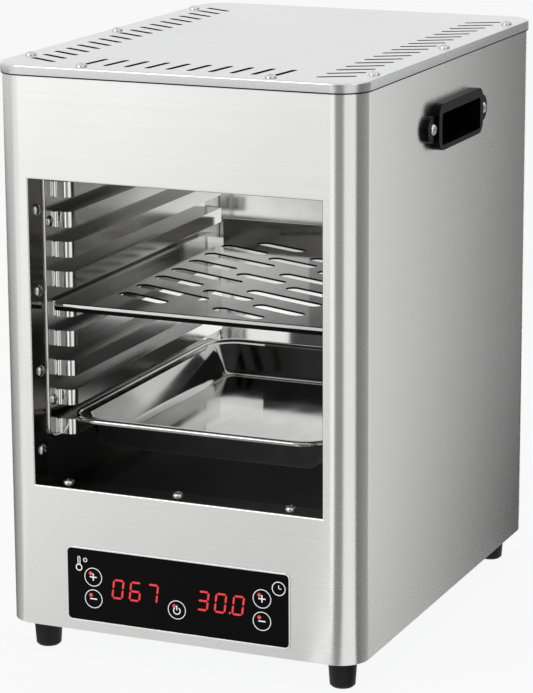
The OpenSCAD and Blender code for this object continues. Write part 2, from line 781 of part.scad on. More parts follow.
// the right-hand panel; the left-hand one is its mirror image
module runner() difference() {
    union() {
        translate([runner_x, 0, 0]) sideways(runner_t) runner_outline();
        for (k = [1:ledge_n]) translate([runner_x, 0, ledge_top(k) - ledge_h]) mirror([1, 0, 0])
            linear_extrude(ledge_h) {
                ledge_plan(0, runner_t);
                ledge_fillets();
            }
    }
    // the ledges are pressed out of the sheet, so they are open behind
    for (k = [1:ledge_n]) translate([runner_x, 0, ledge_top(k) - ledge_h + runner_t])
        mirror([1, 0, 0]) linear_extrude(ledge_h - 2 * runner_t) ledge_plan(runner_t, 2 * runner_t);
    at_runner_screws() translate([0, 0, -shank_l]) cylinder(r = hole_r, h = 2 * shank_l);
}

module right_runner() color("lightgray") on_feet() runner();
module left_runner() color("lightgray") on_feet() mirror([1, 0, 0]) runner();

module runner_screws() color("silver") on_feet() at_runner_screws() pan_screw();
module jamb_screws() color("silver") on_feet() at_jamb_screws() pan_screw();
module sill_screws() color("silver") on_feet() at_sill_screws() pan_screw();

// ---------- rack ----------

// columns of slanting slots; each long column ends in a short slot, at the back on the left
// and at the front on the right
module rack_slots() {
    short_x = slot_reach - slot_short * cos(slot_slant) / 2;
    long_x = slot_reach - slot_long * cos(slot_slant) / 2;
    mid = slot_row - slot_pitch / 2;
    cut = (slot_long - slot_short) / 2;
    translate([slot_off, rack_y + rack_d / 2]) {
        slot_column(0, mid, 3, slot_short);
        for (s = [-1, 1]) {
            y = mid + s * slot_skew;
            slot_column(s * short_x, slot_row, 4, slot_short);
            slot_column(s * long_x, y, 3, slot_long);
            translate([s * long_x, s < 0 ? y + slot_pitch : y - 3 * slot_pitch]) rotate(slot_slant)
                translate([-s * cut, 0]) slot(slot_short, slot_w);
        }
    }
}

module slot_column(x, y, n, len) {
    for (k = [0:n - 1]) translate([x, y - k * slot_pitch]) rotate(slot_slant) slot(len, slot_w);
}

module slotted_rack() color("silver") on_feet() {
    difference() {
        translate([0, rack_y + rack_d / 2, rack_z]) linear_extrude(rack_t)
            rounded(rack_w, rack_d, rack_corner);
        translate([0, 0, rack_z - 1]) linear_extrude(rack_t + 2) rack_slots();
    }
    translate([-rack_w / 2 + rack_corner, rack_y, rack_z - rack_lip])
        cube([rack_w - 2 * rack_corner, rack_t, rack_lip + eps]);
    translate([-rack_back_w / 2, rack_y + rack_d - rack_t, rack_z])
        cube([rack_back_w, rack_t, rack_back_h + rack_t]);
}

// ---------- pan ----------

// half-section of the pan, from the middle of a corner out to the rolled rim
module pan_section() {
    brim = pan_r - 2 * rim_r - pan_flange;
    c = [brim - pan_draft - pan_floor_r, pan_floor_r - pan_h];
    // the wall is the tangent from the brim to the round of the floor
    reach = norm([brim, 0] - c);
    lean = atan2(-c[1], brim - c[0]) - acos(pan_floor_r / reach);
    wall = sqrt(reach * reach - pan_floor_r * pan_floor_r);
    span = 2 * pan_floor_r;
    translate([0, -pan_h]) square([c[0] + eps, pan_t]);
    translate(c) {
        intersection() {
            difference() {
                circle(pan_floor_r);
                circle(pan_floor_r - pan_t);
            }
            polygon([[0, 0], [0, -span], [span, -span], [span * cos(lean), span * sin(lean)]]);
        }
        rotate(lean) translate([pan_floor_r - pan_t, -eps]) square([pan_t, wall + eps]);
    }
    translate([brim - pan_t / 2, -pan_t / 2]) square([pan_flange + rim_r, pan_t]);
    translate([pan_r - rim_r, 0]) circle(rim_r, $fn = 24);
}

module drip_pan() color("silver") on_feet() translate([0, pan_y, rim_z]) {
    for (a = [0:90:270]) {
        size = a % 180 == 0 ? [pan_w, pan_d] : [pan_d, pan_w];
        rotate(a) translate([size[0] / 2 - pan_r, size[1] / 2 - pan_r, 0]) {
            rotate_extrude(angle = 90) pan_section();
            rotate([90, 0, 0]) linear_extrude(size[1] - 2 * pan_r) pan_section();
        }
    }
    translate([pan_r - pan_w / 2 - eps, pan_r - pan_d / 2 - eps, -pan_h])
        cube([pan_w - 2 * pan_r + 2 * eps, pan_d - 2 * pan_r + 2 * eps, pan_t]);
}

// ---------- heating ----------

module heating_elements() color("dimgray") on_feet() for (s = [-1, 1])
    translate([s * hairpin_x, 0, tube_z]) {
        for (t = [-1, 1]) translate([t * hairpin_half, bend_y, 0]) rotate([-90, 0, 0]) {
            cylinder(r = tube_r, h = tube_end - bend_y);
            cylinder(r = pin_r, h = tube_end - bend_y + pin_l);
        }
        translate([0, bend_y, 0]) rotate(180) rotate_extrude(angle = 180)
            translate([hairpin_half, 0]) circle(tube_r);
    }

module element_flanges() color("silver") on_feet() difference() {
    for (s = [-1, 1]) translate([s * hairpin_x, 0, tube_z]) upright(cav_back + liner_t, flange_t)
        slot(2 * hairpin_half + flange_w, flange_w);
    through_back(tube_r + tube_fit, probe_r);
}

module element_clips() color("silver") on_feet() difference() {
    h = reflector_z - tube_z;
    for (s = [-1, 1]) translate([s * hairpin_x, 0, tube_z]) upright(bend_y + clip_back, clip_t) {
        translate([-hairpin_half - clip_w / 2, 0]) square([2 * hairpin_half + clip_w, h]);
        slot(2 * hairpin_half + clip_w, clip_w);
    }
    for (x = leg_xs) translate([x, bend_y, tube_z]) rearward(tube_r + tube_fit, far);
}

module element_terminals() color("ivory") on_feet()
    for (x = leg_xs) translate([x, tube_end, tube_z]) difference() {
        rearward(bead_r, bead_l);
        translate([0, -1, 0]) rearward(pin_r + tube_fit, bead_l + 2);
    }

module reflector() color("lightgray") on_feet() {
    y = bend_y - hairpin_half - reflector_over;
    l = cav_back - y;
    translate([-reflector_x, y, reflector_z]) cube([2 * reflector_x, l, liner_t]);
    both_sides() translate([reflector_x - liner_t, y, reflector_z]) cube([liner_t, l, reflector_drop]);
}

module roof_insulation() color("beige") on_feet()
    translate([wool_margin - wall_out, jamb_y + wool_margin, ceil_z + liner_t])
        cube([2 * (wall_out - wool_margin), cav_back - jamb_y - 2 * wool_margin, roof_wool]);

module side_insulation() color("beige") on_feet() both_sides() difference() {
    translate([wall_out, jamb_y + wool_margin, floor_z + wool_margin])
        cube([side_wool, cav_back - jamb_y - 2 * wool_margin, ceil_z - floor_z - 2 * wool_margin]);
    at_runner_screws() translate([0, 0, -far]) cylinder(r = head_room, h = far);
}

module back_insulation() color("beige") on_feet() difference() {
    translate([wool_margin - wall_out, cav_back + liner_t, floor_z + wool_margin])
        cube([2 * (wall_out - wool_margin), back_wool, ceil_z - floor_z - 2 * wool_margin]);
    for (s = [-1, 1]) translate([s * hairpin_x, 0, tube_z]) upright(cav_back, flange_t + liner_t + 0.5)
        slot(2 * hairpin_half + flange_w + 2, flange_w + 2);
    through_back(tube_r + 0.5, nut_r + 1);
    translate([0, cav_back, tube_z - cutout_drop]) rearward(2 * cutout_r, far);
}

module temperature_probe() color("silver") on_feet() translate([0, cav_back, tube_z])
    rotate([-90, 0, 0]) {
        translate([0, 0, -probe_l]) cylinder(r = probe_r, h = probe_l + tube_tail);
        translate([0, 0, liner_t]) cylinder(r = nut_r, h = 3, $fn = 6);
    }

module thermal_cutout() color("black") on_feet()
    translate([0, cav_back + liner_t, tube_z - cutout_drop]) {
        rearward(cutout_r, cutout_r - 1);
        upright(0, 1) slot(3.5 * cutout_r, cutout_r);
        for (x = [-1, 1]) translate([x * cutout_r / 2, cutout_r - 1 - eps, -blade_size[2] / 2])
            translate([-blade_size[0] / 2, 0, 0]) cube(blade_size);
    }

// ---------- grips ----------

// the right-hand grip: frame and lugs outside, finger recess with a sloping roof inside
module grip() translate([body_w / 2, 0, grip_z]) difference() {
    union() {
        sideways(grip_proud) rounded(grip_l, grip_h, grip_r);
        sideways(lug_t) {
            for (s = [-1, 1]) translate([s * grip_screw, 0]) circle(lug_r);
            square([2 * grip_screw, 2 * lug_r], center = true);
        }
        translate([-grip_depth, 0, open_z]) sideways(grip_depth + eps)
            rounded(open_l + 2 * grip_wall, open_h + 2 * grip_wall, grip_r - grip_end + grip_wall);
    }
    difference() {
        translate([-grip_depth + grip_wall, 0, open_z]) sideways(far)
            rounded(open_l, open_h, grip_r - grip_end);
        // sloping roof of the recess
        translate([0, far / 2, open_z + open_h / 2]) rotate([90, 0, 0]) linear_extrude(far)
            polygon([[grip_proud - 2, 1], [grip_proud - 2, 0], [-grip_depth, -open_h * 0.4],
                [-grip_depth, 1]]);
    }
    for (s = [-1, 1]) translate([-1, s * grip_screw, 0]) rotate([0, 90, 0])
        cylinder(r = hole_r, h = lug_t + 2);
}

module right_handle() color("black") on_feet() grip();
module left_handle() color("black") on_feet() mirror([1, 0, 0]) grip();
module handle_screws() color("silver") on_feet() at_grip_screws() pan_screw(shank_l + lug_t);

// ---------- touch panel ----------

module panel_bezel() color("silver") on_feet() translate([0, 0, panel_mid])
    upright(front_y - bezel_proud, glass_back - front_y + bezel_proud) difference() {
        grow = 2 * (bezel_w + panel_gap);
        rounded(panel_w + grow, panel_h + grow, panel_r + bezel_w + panel_gap);
        rounded(panel_w + 2 * panel_gap, panel_h + 2 * panel_gap, panel_r + panel_gap);
    }

module control_glass() color("black") on_feet() translate([0, 0, panel_mid])
    upright(glass_y, glass_t) rounded(panel_w, panel_h, panel_r);

module display_housing() color("dimgray") on_feet() translate([0, 0, panel_mid]) difference() {
    w = panel_cut(panel_w) + 2 * tray_t;
    h = panel_cut(panel_h) + 2 * tray_t;
    union() {
        upright(tray_y, tray_d) difference() {
            rounded(w, h, panel_r + tray_t);
            rounded(w - 2 * tray_t, h - 2 * tray_t, panel_r);
        }
        upright(tray_y + tray_d - tray_t, tray_t) rounded(w, h, panel_r + tray_t);
        upright(glass_back, tray_t) difference() {
            rounded(w - tray_t, h - tray_t, panel_r);
            rounded(panel_w - 2 * panel_r, panel_h - 2 * panel_r, panel_r);
        }
        // posts that hold the board
        for (x = [-1, 1], z = [-1, 1])
            translate([x * (panel_w / 2 - post_in), board_y + pcb_t, z * (panel_h / 2 - post_in)])
                rearward(post_r, tray_y + tray_d - tray_t / 2 - board_y - pcb_t);
    }
}

module display_board() color("darkgreen") on_feet() translate([0, 0, panel_mid])
    upright(board_y, pcb_t) square([panel_w - 2 * board_edge, panel_h - 2 * board_edge], center = true);

module display_block(x) translate([x, 0, panel_mid]) upright(glass_back, display_t)
    square([display_w, display_h], center = true);
module temperature_display() color("black") on_feet() display_block(-display_x);
module timer_display() color("black") on_feet() display_block(display_x);

module touch_springs() color("gold") on_feet() {
    keys = [[-key_x, key_up], [-key_x, -key_down], [key_x, key_up], [key_x, -key_down],
        [0, -key_down]];
    for (k = keys) translate([k[0], glass_back, panel_mid + k[1]]) difference() {
        rearward(key_r, display_t);
        translate([0, -1, 0]) rearward(key_r - 1, display_t + 2);
    }
}

module buzzer() color("black") on_feet() translate([0, board_y + pcb_t, panel_mid])
    rearward(buzzer_r, buzzer_t);

// ---------- electronics ----------

board_z = sheet_t + standoff_h;
module at_standoffs() for (x = [-1, 1], y = [-1, 1])
    translate([x * (board_w / 2 - standoff_in), board_mid + y * (board_d / 2 - standoff_in), 0])
        children();

module power_board() color("darkgreen") on_feet() translate([-board_w / 2, board_mid - board_d / 2,
    board_z]) cube([board_w, board_d, pcb_t]);

module board_standoffs() color("white") on_feet() at_standoffs()
    translate([0, 0, sheet_t]) cylinder(r = 3.5, h = standoff_h);

module on_board(x, y) translate([x, board_mid + y, board_z + pcb_t]) children();

// block of a given size, centred over z = 0
module block(size) translate([-size[0] / 2, -size[1] / 2, 0]) cube(size);

module relay() color("steelblue") on_feet() on_board(-board_w / 4, board_d / 5) block(relay_size);

module transformer() color("orange") on_feet() on_board(board_w / 5, board_d / 7) {
    translate([0, 0, (core_size[2] - winding_size[2]) / 2]) block(winding_size);
    block(core_size);
}

module terminal_block() color("ivory") on_feet() on_board(0, terminal_size[1] - board_d / 2)
    difference() {
        block(terminal_size);
        for (k = [-2:2]) translate([k * terminal_pitch, 0, 4]) cylinder(r = 2.6, h = terminal_size[2]);
    }

housing_wrap();
top_cover();
cover_screws();
base_plate();
back_panel();
back_screws();
feet();
foot_screws();
chamber_shell();
chamber_floor();
chamber_back();
chamber_legs();
left_runner();
right_runner();
runner_screws();
jamb_screws();
sill_screws();
slotted_rack();
drip_pan();
heating_elements();
element_flanges();
element_clips();
element_terminals();
reflector();
roof_insulation();
side_insulation();
back_insulation();
temperature_probe();
thermal_cutout();
left_handle();
right_handle();
handle_screws();
panel_bezel();
control_glass();
display_housing();
display_board();
temperature_display();
timer_display();
touch_springs();
buzzer();
power_board();
board_standoffs();
relay();
transformer();
terminal_block();
cord_bushing();
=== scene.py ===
# %% [markdown]
# # An electric roaster in brushed and polished stainless steel
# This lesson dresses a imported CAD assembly. The cabinet is a folded sheet with a window, and
# its cavity holds nine pressed ledges on each side, a slotted rack and a drip pan. A glass
# touch panel with two red displays sits below. Sizes are in millimetres until a piece is
# made, and Blender works in metres.

import math

import bmesh
import bpy
from mathutils import Matrix, Vector


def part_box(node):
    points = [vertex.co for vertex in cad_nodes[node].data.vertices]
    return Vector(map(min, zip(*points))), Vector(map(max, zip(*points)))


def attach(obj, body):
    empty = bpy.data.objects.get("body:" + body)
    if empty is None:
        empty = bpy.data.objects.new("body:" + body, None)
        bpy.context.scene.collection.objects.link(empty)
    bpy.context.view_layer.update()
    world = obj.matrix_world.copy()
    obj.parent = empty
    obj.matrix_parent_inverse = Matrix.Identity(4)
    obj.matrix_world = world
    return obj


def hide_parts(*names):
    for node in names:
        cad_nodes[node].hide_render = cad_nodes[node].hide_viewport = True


MM = 0.001
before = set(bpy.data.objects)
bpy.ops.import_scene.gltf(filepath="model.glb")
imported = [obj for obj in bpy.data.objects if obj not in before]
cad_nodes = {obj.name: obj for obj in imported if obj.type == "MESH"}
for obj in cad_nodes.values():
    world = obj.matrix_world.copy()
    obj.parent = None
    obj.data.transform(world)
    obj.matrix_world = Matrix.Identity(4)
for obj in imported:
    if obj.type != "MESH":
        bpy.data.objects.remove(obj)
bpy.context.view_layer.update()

# %% [markdown]
# ## Small helpers
# One function turns a written colour into Blender's linear light. One adds a node to any
# tree, with its settings, its typed-in inputs and its links. One puts a new object into the
# scene.

# %% Helpers for nodes and objects
def linear(code):
    """A hex colour such as "D8D8D6" as linear red, green, blue and alpha."""
    parts = [int(code[i : i + 2], 16) / 255 for i in (0, 2, 4)]
    return [c / 12.92 if c <= 0.04045 else ((c + 0.055) / 1.055) ** 2.4 for c in parts] + [1.0]


def add(tree, kind, inputs=None, **settings):
    """Adds a node. Each input is a value, or the node or the output socket that feeds it.
    A node feeds it from its first output."""
    node = tree.nodes.new(kind)
    for name, value in settings.items():
        setattr(node, name, value)
    for name, value in (inputs or {}).items():
        if isinstance(value, bpy.types.Node):
            value = value.outputs[0]
        if isinstance(value, bpy.types.NodeSocket):
            tree.links.new(value, node.inputs[name])
        else:
            node.inputs[name].default_value = value
    return node


def link(name, data):
    """A new object in the scene, for a mesh, a lamp or a camera."""
    obj = bpy.data.objects.new(name, data)
    bpy.context.scene.collection.objects.link(obj)
    return obj


# %% [markdown]
# ## Camera
# The camera stands to the right of the front and a little above. Its place and turn were
# found by matching the cabinet's straight edges, and it stays a plain perspective camera.

# %% Camera
CAMERA_AT = (0.820107, -1.920556, 0.706635)
YAW, PITCH, ROLL = 0.4077, 0.2402, -0.0053
FOCAL_PX, LONG_SIDE_PX = 2912.21, 693

camera = link("camera", bpy.data.cameras.new("camera"))
camera.data.lens = FOCAL_PX * camera.data.sensor_width / LONG_SIDE_PX
camera.location = CAMERA_AT
turn = Matrix.Rotation(YAW, 4, "Z") @ Matrix.Rotation(math.pi / 2 - PITCH, 4, "X")
camera.rotation_euler = (turn @ Matrix.Rotation(ROLL, 4, "Z")).to_euler()
bpy.context.scene.camera = camera
print("lens", round(camera.data.lens, 2), "mm")

# %% [markdown]
# ## Studio
# Steel shows what stands round it, so the room matters more than the lamps. The world is
# white to the camera and in reflections, and the pale floor keeps the shadow. A photographer
# lays grey cards round a steel object to draw its edges: here cards that only reflections can
# see give the sides their slow fall from light to dark, and the round corners their bands.
# Small ones stand inside the cavity too, where light has to come off four sheets before it
# gets out again.

# %% World and floor
FLOOR = 8  # half of the floor's width, in metres


def bare_tree(owner):
    """The emptied node tree of a world or a material."""
    owner.use_nodes = True
    owner.node_tree.nodes.clear()
    return owner.node_tree


def seen_rays(tree):
    """1 for rays from the camera, off gloss or through glass, and 0 for all others."""
    path = add(tree, "ShaderNodeLightPath").outputs
    seen = path["Is Camera Ray"]
    for ray in ("Is Glossy Ray", "Is Transmission Ray"):
        seen = add(tree, "ShaderNodeMath", {0: seen, 1: path[ray]}, operation="MAXIMUM")
    return seen


world = bpy.data.worlds.new("white studio")
bpy.context.scene.world = world
tree = bare_tree(world)
seen = seen_rays(tree)
soft = add(tree, "ShaderNodeBackground", {"Color": linear("F2F4F7"), "Strength": 0.45})
white = add(tree, "ShaderNodeBackground", {"Color": (1, 1, 1, 1), "Strength": 1.0})
mixed = add(tree, "ShaderNodeMixShader", {0: seen, 1: soft, 2: white})
add(tree, "ShaderNodeOutputWorld", {"Surface": mixed})

floor_mesh = bpy.data.meshes.new("floor")
corners = [(-FLOOR, -FLOOR, 0), (FLOOR, -FLOOR, 0), (FLOOR, FLOOR, 0), (-FLOOR, FLOOR, 0)]
floor_mesh.from_pydata(corners, [], [(0, 1, 2, 3)])
floor = link("floor", floor_mesh)
paper = bpy.data.materials.new("white paper sweep")
tree = bare_tree(paper)
bright = add(tree, "ShaderNodeMath", {0: seen_rays(tree), 1: 0.9}, operation="MULTIPLY")
matte = add(tree, "ShaderNodeBsdfDiffuse", {"Color": linear("F4F4F4")})
glow = add(tree, "ShaderNodeEmission", {"Color": (1, 1, 1, 1), "Strength": 1.0})
mixed = add(tree, "ShaderNodeMixShader", {0: bright, 1: matte, 2: glow})
add(tree, "ShaderNodeOutputMaterial", {"Surface": mixed})
floor_mesh.materials.append(paper)

# %% Lamps
LAMPS = {  # name: (place, target, size, watts)
    "front softbox": ((-1.1, -2.2, 1.5), (0, 0, 0.2), 1.2, 16),
    "top softbox": ((0.1, 0.2, 2.2), (0, 0, 0.4), 1.6, 5),
    "right softbox": ((2.2, -0.6, 1.2), (0, 0, 0.25), 1.0, 3),
}
for name, (at, target, size, watts) in LAMPS.items():
    lamp = link(name, bpy.data.lights.new(name, "AREA"))
    lamp.data.size = size
    lamp.data.energy = watts
    lamp.location = at
    lamp.rotation_euler = (Vector(target) - Vector(at)).to_track_quat("-Z", "Y").to_euler()
# the cover would mirror the lamp above it and clip to white, so reflections pass it by
bpy.data.objects["top softbox"].visible_glossy = False

# %% Grey cards
CELLS = 12  # along each side of a card

card_paint = bpy.data.materials.new("grey card")
tree = bare_tree(card_paint)
grey = add(tree, "ShaderNodeAttribute", attribute_name="grey")
grey_light = add(tree, "ShaderNodeEmission", {"Color": grey.outputs["Color"], "Strength": 1.0})
add(tree, "ShaderNodeOutputMaterial", {"Surface": grey_light})


def card(name, corners, greys):
    """A card between four corners, on the floor where they are (x, y). greys is its light
    level, or one level for each corner."""
    corners = [(*corner, 0.001)[:3] for corner in corners]
    greys = greys if isinstance(greys, tuple) else (greys,) * 4
    points, levels = [], []
    for j in range(CELLS + 1):
        for i in range(CELLS + 1):
            u, v = i / CELLS, j / CELLS
            shares = ((1 - u) * (1 - v), u * (1 - v), u * v, (1 - u) * v)
            points.append([sum(s * c[axis] for s, c in zip(shares, corners)) for axis in range(3)])
            levels += [sum(s * g for s, g in zip(shares, greys))] * 3 + [1.0]
    row = CELLS + 1
    faces = [(j * row + i, j * row + i + 1, (j + 1) * row + i + 1, (j + 1) * row + i)
             for j in range(CELLS) for i in range(CELLS)]
    mesh = bpy.data.meshes.new(name)
    mesh.from_pydata(points, [], faces)
    mesh.attributes.new("grey", "FLOAT_COLOR", "POINT").data.foreach_set("color", levels)
    mesh.materials.append(card_paint)
    obj = link(name, mesh)
    for ray in ("camera", "diffuse", "shadow", "transmission"):
        setattr(obj, "visible_" + ray, False)


def fan(x, y, reach, first, last):
    """Four corners of a wedge that opens from (x, y) between two directions in degrees."""
    far = [(x + reach * math.cos(math.radians(a)), y + reach * math.sin(math.radians(a)))
           for a in (first, last)]
    return [(x, y), (x, y + 0.001), far[1], far[0]]


def board(a, b, height=1.0):
    """Four corners of a board that stands on the floor from one (x, y) to another."""
    return [(*a, 0), (*b, 0), (*b, height), (*a, height)]


def screen(*wedge):
    """Four corners of a board at the far end of such a wedge."""
    return board(*fan(*wedge)[:1:-1])


def upright(x0, x1, z0, z1, y=0.113):
    """Four corners of a card across the cavity, just behind the rack and the pan."""
    return [(x0, y, z0), (x1, y, z0), (x1, y, z1), (x0, y, z1)]


def lying(half_w, y0, y1, z):
    """Four corners of a level card inside the cavity."""
    return [(-half_w, y0, z), (half_w, y0, z), (half_w, y1, z), (-half_w, y1, z)]


CARDS = {  # name: (corners, its light level or one for each corner)
    "front card": ([(-0.20, -0.20), (0.13, -0.20), (-1.1, -3.9), (-2.3, -3.7)],
                   (0.80, 0.60, 0.45, 1.75)),
    "white fan before the corner": (fan(0.098, -0.173, 3.5, -108, -91), 1.2),
    "dark fan before the corner": (fan(0.10, -0.172, 3.5, -90, -57), 0.28),
    "dark fan beside the corner": (fan(0.124, -0.165, 3.0, -12, 58), (0.14, 0.42, 0.42, 0.14)),
    "dark fan before the left corner": (fan(-0.124, -0.165, 3.0, -225, -150),
                                        (0.05, 0.60, 0.60, 0.05)),
    "screen before the corner": (screen(0.10, -0.172, 1.7, -90, -58), 0.30),
    "screen beside the corner": (screen(0.124, -0.165, 1.7, -12, 57), (0.14, 0.42, 0.42, 0.14)),
    "card beside the right side": ([(0.145, -0.20), (0.145, 0.22), (0.45, 1.20), (0.45, 0.62)],
                                   (0.68, 0.02, 0.02, 0.80)),
    "dark card beside it": ([(0.145, 0.22), (0.145, 0.8), (0.45, 2.2), (0.45, 1.20)], 0.02),
    "board beyond it": (board((0.45, 0.62), (0.45, 1.20), 1.2), (0.85, 0.02, 0.02, 0.95)),
    "dark board beyond it": (board((0.45, 1.20), (0.45, 2.2), 1.2), 0.02),
    "above the rack, left": (upright(-0.108, -0.022, 0.256, 0.350), (1.0, 0.75, 0.08, 0.42)),
    "above the rack, right": (upright(-0.022, 0.108, 0.256, 0.350), (0.45, 0.10, 0.06, 0.06)),
    "below the rack, left": (upright(-0.108, -0.0, 0.178, 0.250), (1.3, 1.3, 0.40, 0.50)),
    "below the rack, right": (upright(0.0, 0.108, 0.178, 0.250), (0.90, 0.20, 0.10, 0.30)),
    "beside the pan, left": (upright(-0.108, -0.060, 0.128, 0.178), (0.8, 0.9, 1.1, 1.1)),
    "beside the pan, right": (upright(-0.060, 0.108, 0.128, 0.178), (0.05, 0.15, 0.15, 0.05)),
    "under the rack": (lying(0.1035, -0.150, 0.107, 0.2497), (0.06, 0.10, 0.05, 0.03)),
    "under the pan": (lying(0.095, -0.145, 0.10, 0.1435), (0.01, 0.06, 0.03, 0.05)),
}
for name, (corners, greys) in CARDS.items():
    card(name, corners, greys)
print(len(LAMPS), "lamps and", len(CARDS), "cards")

# %% [markdown]
# ## Steel
# The roaster's sheets are stainless steel in several finishes. Brushed sheet has fine lines
# along one direction, from an abrasive belt: noise stretched along that direction moves the
# roughness, the colour and a little bump. Real lines are a tenth of a millimetre wide, too
# fine for this picture, so they are drawn about a millimetre wide.

# %% Functions for metals
def new_material(name):
    """A new material with its node tree, its shader and the object's own coordinates."""
    mat = bpy.data.materials.new(name)
    mat.use_nodes = True
    tree = mat.node_tree
    place = add(tree, "ShaderNodeTexCoord")
    return mat, tree, tree.nodes["Principled BSDF"], place.outputs["Object"]


def two_tones(tree, level, dark, light):
    """A colour that runs between two written ones as a level runs from 0 to 1."""
    mix = add(tree, "ShaderNodeMix", {0: level, 6: linear(dark), 7: linear(light)},
              data_type="RGBA")
    return mix.outputs[2]


def dress(tree, shader, level, tones, rough, height, bump):
    """Lets one level move a shader's colour and roughness, and a height its bump."""
    polish = add(tree, "ShaderNodeMapRange",
                 {"Value": level, "To Min": rough[0], "To Max": rough[1]})
    relief = add(tree, "ShaderNodeBump", {"Height": height, "Strength": 1.0, "Distance": bump})
    tree.links.new(two_tones(tree, level, *tones), shader.inputs["Base Color"])
    tree.links.new(polish.outputs[0], shader.inputs["Roughness"])
    tree.links.new(relief.outputs[0], shader.inputs["Normal"])


def metal(name, dark, light, rough, spread, lines, bump, anisotropy=0.0):
    """A metal whose colour and roughness vary along noise. lines gives the noise's repeats
    per metre along X, Y and Z, bump is the depth of the grain in metres, and anisotropy
    spreads reflections up and down, across brushed lines that run level."""
    mat, tree, shader, place = new_material(name)
    grain = add(tree, "ShaderNodeMapping", {"Vector": place, "Scale": lines})
    fine = add(tree, "ShaderNodeTexNoise",
               {"Vector": grain, "Scale": 1.0, "Detail": 5.0}).outputs["Fac"]
    cloud = add(tree, "ShaderNodeTexNoise", {"Vector": place, "Scale": 9.0, "Detail": 2.0})
    both = add(tree, "ShaderNodeMath", {0: fine, 1: cloud.outputs["Fac"]}, operation="ADD")
    level = add(tree, "ShaderNodeMapRange", {"Value": both, "From Min": 0.7, "From Max": 1.3})
    dress(tree, shader, level, (dark, light), (rough - spread, rough + spread),
          fine, bump)
    shader.inputs["Metallic"].default_value = 1.0
    shader.inputs["Anisotropic"].default_value = anisotropy
    shader.inputs["Anisotropic Rotation"].default_value = 0.25
    return mat


# %% Steel finishes
# Belt-brushed sheet round the cabinet: soft, wide reflections with level lines.
brushed_wrap = metal(
    "belt-brushed stainless sheet", "E2E2E1", "E6E6E5", 0.27, 0.008, (3, 3, 1100), 4e-8, 0.75)
# The cover is the same sheet, brushed from front to back.
brushed_cover = metal(
    "brushed stainless cover", "D2D2D3", "DADADB", 0.27, 0.01, (1100, 3, 1100), 1e-7)
# Mirror-bright sheet is for the reflector and the ledges' noses, and is a painted highlight on the
# bend of the rack's lip, brighter than the rack's own sheet.
mirror_sheet = metal(
    "mirror-bright stainless sheet", "E0E0DF", "ECECEB", 0.07, 0.02, (60, 14, 60), 2e-6)
# The ledge panels are pressed from a softer, satin sheet, and so is the cavity's back wall.
satin_sheet = metal("satin pressed sheet", "DCDCDB", "ECECEB", 0.17, 0.03, (50, 12, 50), 2e-6)
# The lining is plain rolled sheet, dulled by heat.
lining_sheet = metal("rolled lining sheet", "A9A8A7", "BDBCBB", 0.16, 0.04, (40, 12, 40), 3e-6)
# The pan and the rack are polished the same way, and are greyer from use.
pan_sheet = metal(
    "polished sheet greyed by heat", "949493", "B2B2B1", 0.09, 0.03, (60, 14, 60), 2e-6)
# The cavity's floor and the ledges' tops get a dark sheet as painted shade, the folds round the
# window a lighter one, also painted shade.
painted_shade_sheet = metal("dark floor sheet in painted shade", "4E4D4C", "646362", 0.14, 0.04, (40, 12, 40), 2e-6)
painted_shade_fold_sheet = metal("fold sheet in painted shade", "7A7977", "93918F", 0.14, 0.04, (40, 12, 40), 2e-6)
# Zinc plating is cooler and cloudier than stainless.
zinc_sheet = metal("zinc-plated sheet", "8F959B", "B4B9BE", 0.38, 0.08, (70, 70, 70), 3e-6)
# Screw heads are rumbled and polished, so they carry small hard highlights.
bright_screw = metal("polished screw steel", "B8B8B8", "E0E0E0", 0.16, 0.05, (300, 300, 300), 3e-6)
# The ring round the glass is the brightest metal, with a soft polish; its near-white tone is in
# part a painted highlight.
white_steel = metal("soft-polished surround", "EEEEEE", "F6F6F6", 0.34, 0.03, (200, 200, 200), 1e-6)
# Heater tubes wear a dark oxide with a satin surface.
oxidised_tube = metal("oxidised heater tube", "3A3532", "55504C", 0.46, 0.08, (200, 30, 200), 5e-6)
# Contact springs are plated brass.
spring_brass = metal("plated brass spring", "B38B3A", "D8B45C", 0.28, 0.06, (300, 300, 300), 2e-6)

# %% [markdown]
# ## Plastics, rubber, glass and the rest
# These aren't metals: they take their colour from inside, with a thin plain gloss on top. One
# function sets the tone, the roughness and a grain whose size is given in millimetres.

# %% Function for moulded, fired and felted materials
def solid(name, dark, light, rough, grain_mm, bump, coat=0.0, shine=0.5):
    """A non-metal with a two-tone grain of a given size and a bump of a given depth. The
    shine is its specular level, which dark tinted glass needs lower than the usual 0.5."""
    mat, tree, shader, place = new_material(name)
    grain = add(tree, "ShaderNodeTexNoise",
                {"Vector": place, "Scale": 1 / (grain_mm * MM), "Detail": 4.0}).outputs["Fac"]
    dress(tree, shader, grain, (dark, light), (rough * 0.8, rough * 1.2), grain, bump)
    shader.inputs["Coat Weight"].default_value = coat
    shader.inputs["Specular IOR Level"].default_value = shine
    return mat


# %% Other finishes
# Grips: black ABS, moulded with a satin spark finish.
black_abs = solid("satin black ABS", "050505", "0C0C0C", 0.30, 0.8, 4e-6, shine=0.06)
# Slot walls are rough cut edges. They, their rounded rims, the skirt's lowest edge and the
# underside of the rack's lip get this as painted shade: rough, nearly black, with hardly any gloss.
painted_edge_shade = solid("edges in painted shade", "060606", "101010", 0.6, 0.4, 2e-6, shine=0.06)
# Feet and bushing: moulded rubber, dull with a fine tooth.
moulded_rubber = solid("moulded black rubber", "080808", "111110", 0.55, 0.6, 1e-5, shine=0.25)
# Control panel: glass with a black print on its back, so the front is a clear polished skin.
printed_glass = solid("black back-printed glass", "050505", "090909", 0.06, 6.0, 1e-8, shine=0.08)
# Display covers, sockets and posts: plain black mouldings.
black_moulding = solid("black nylon moulding", "131313", "202020", 0.5, 1.0, 1e-5)
# Circuit boards: green solder mask over glass fibre.
solder_mask = solid("green solder mask", "0B3B1E", "15552C", 0.3, 3.0, 5e-6, coat=0.4)
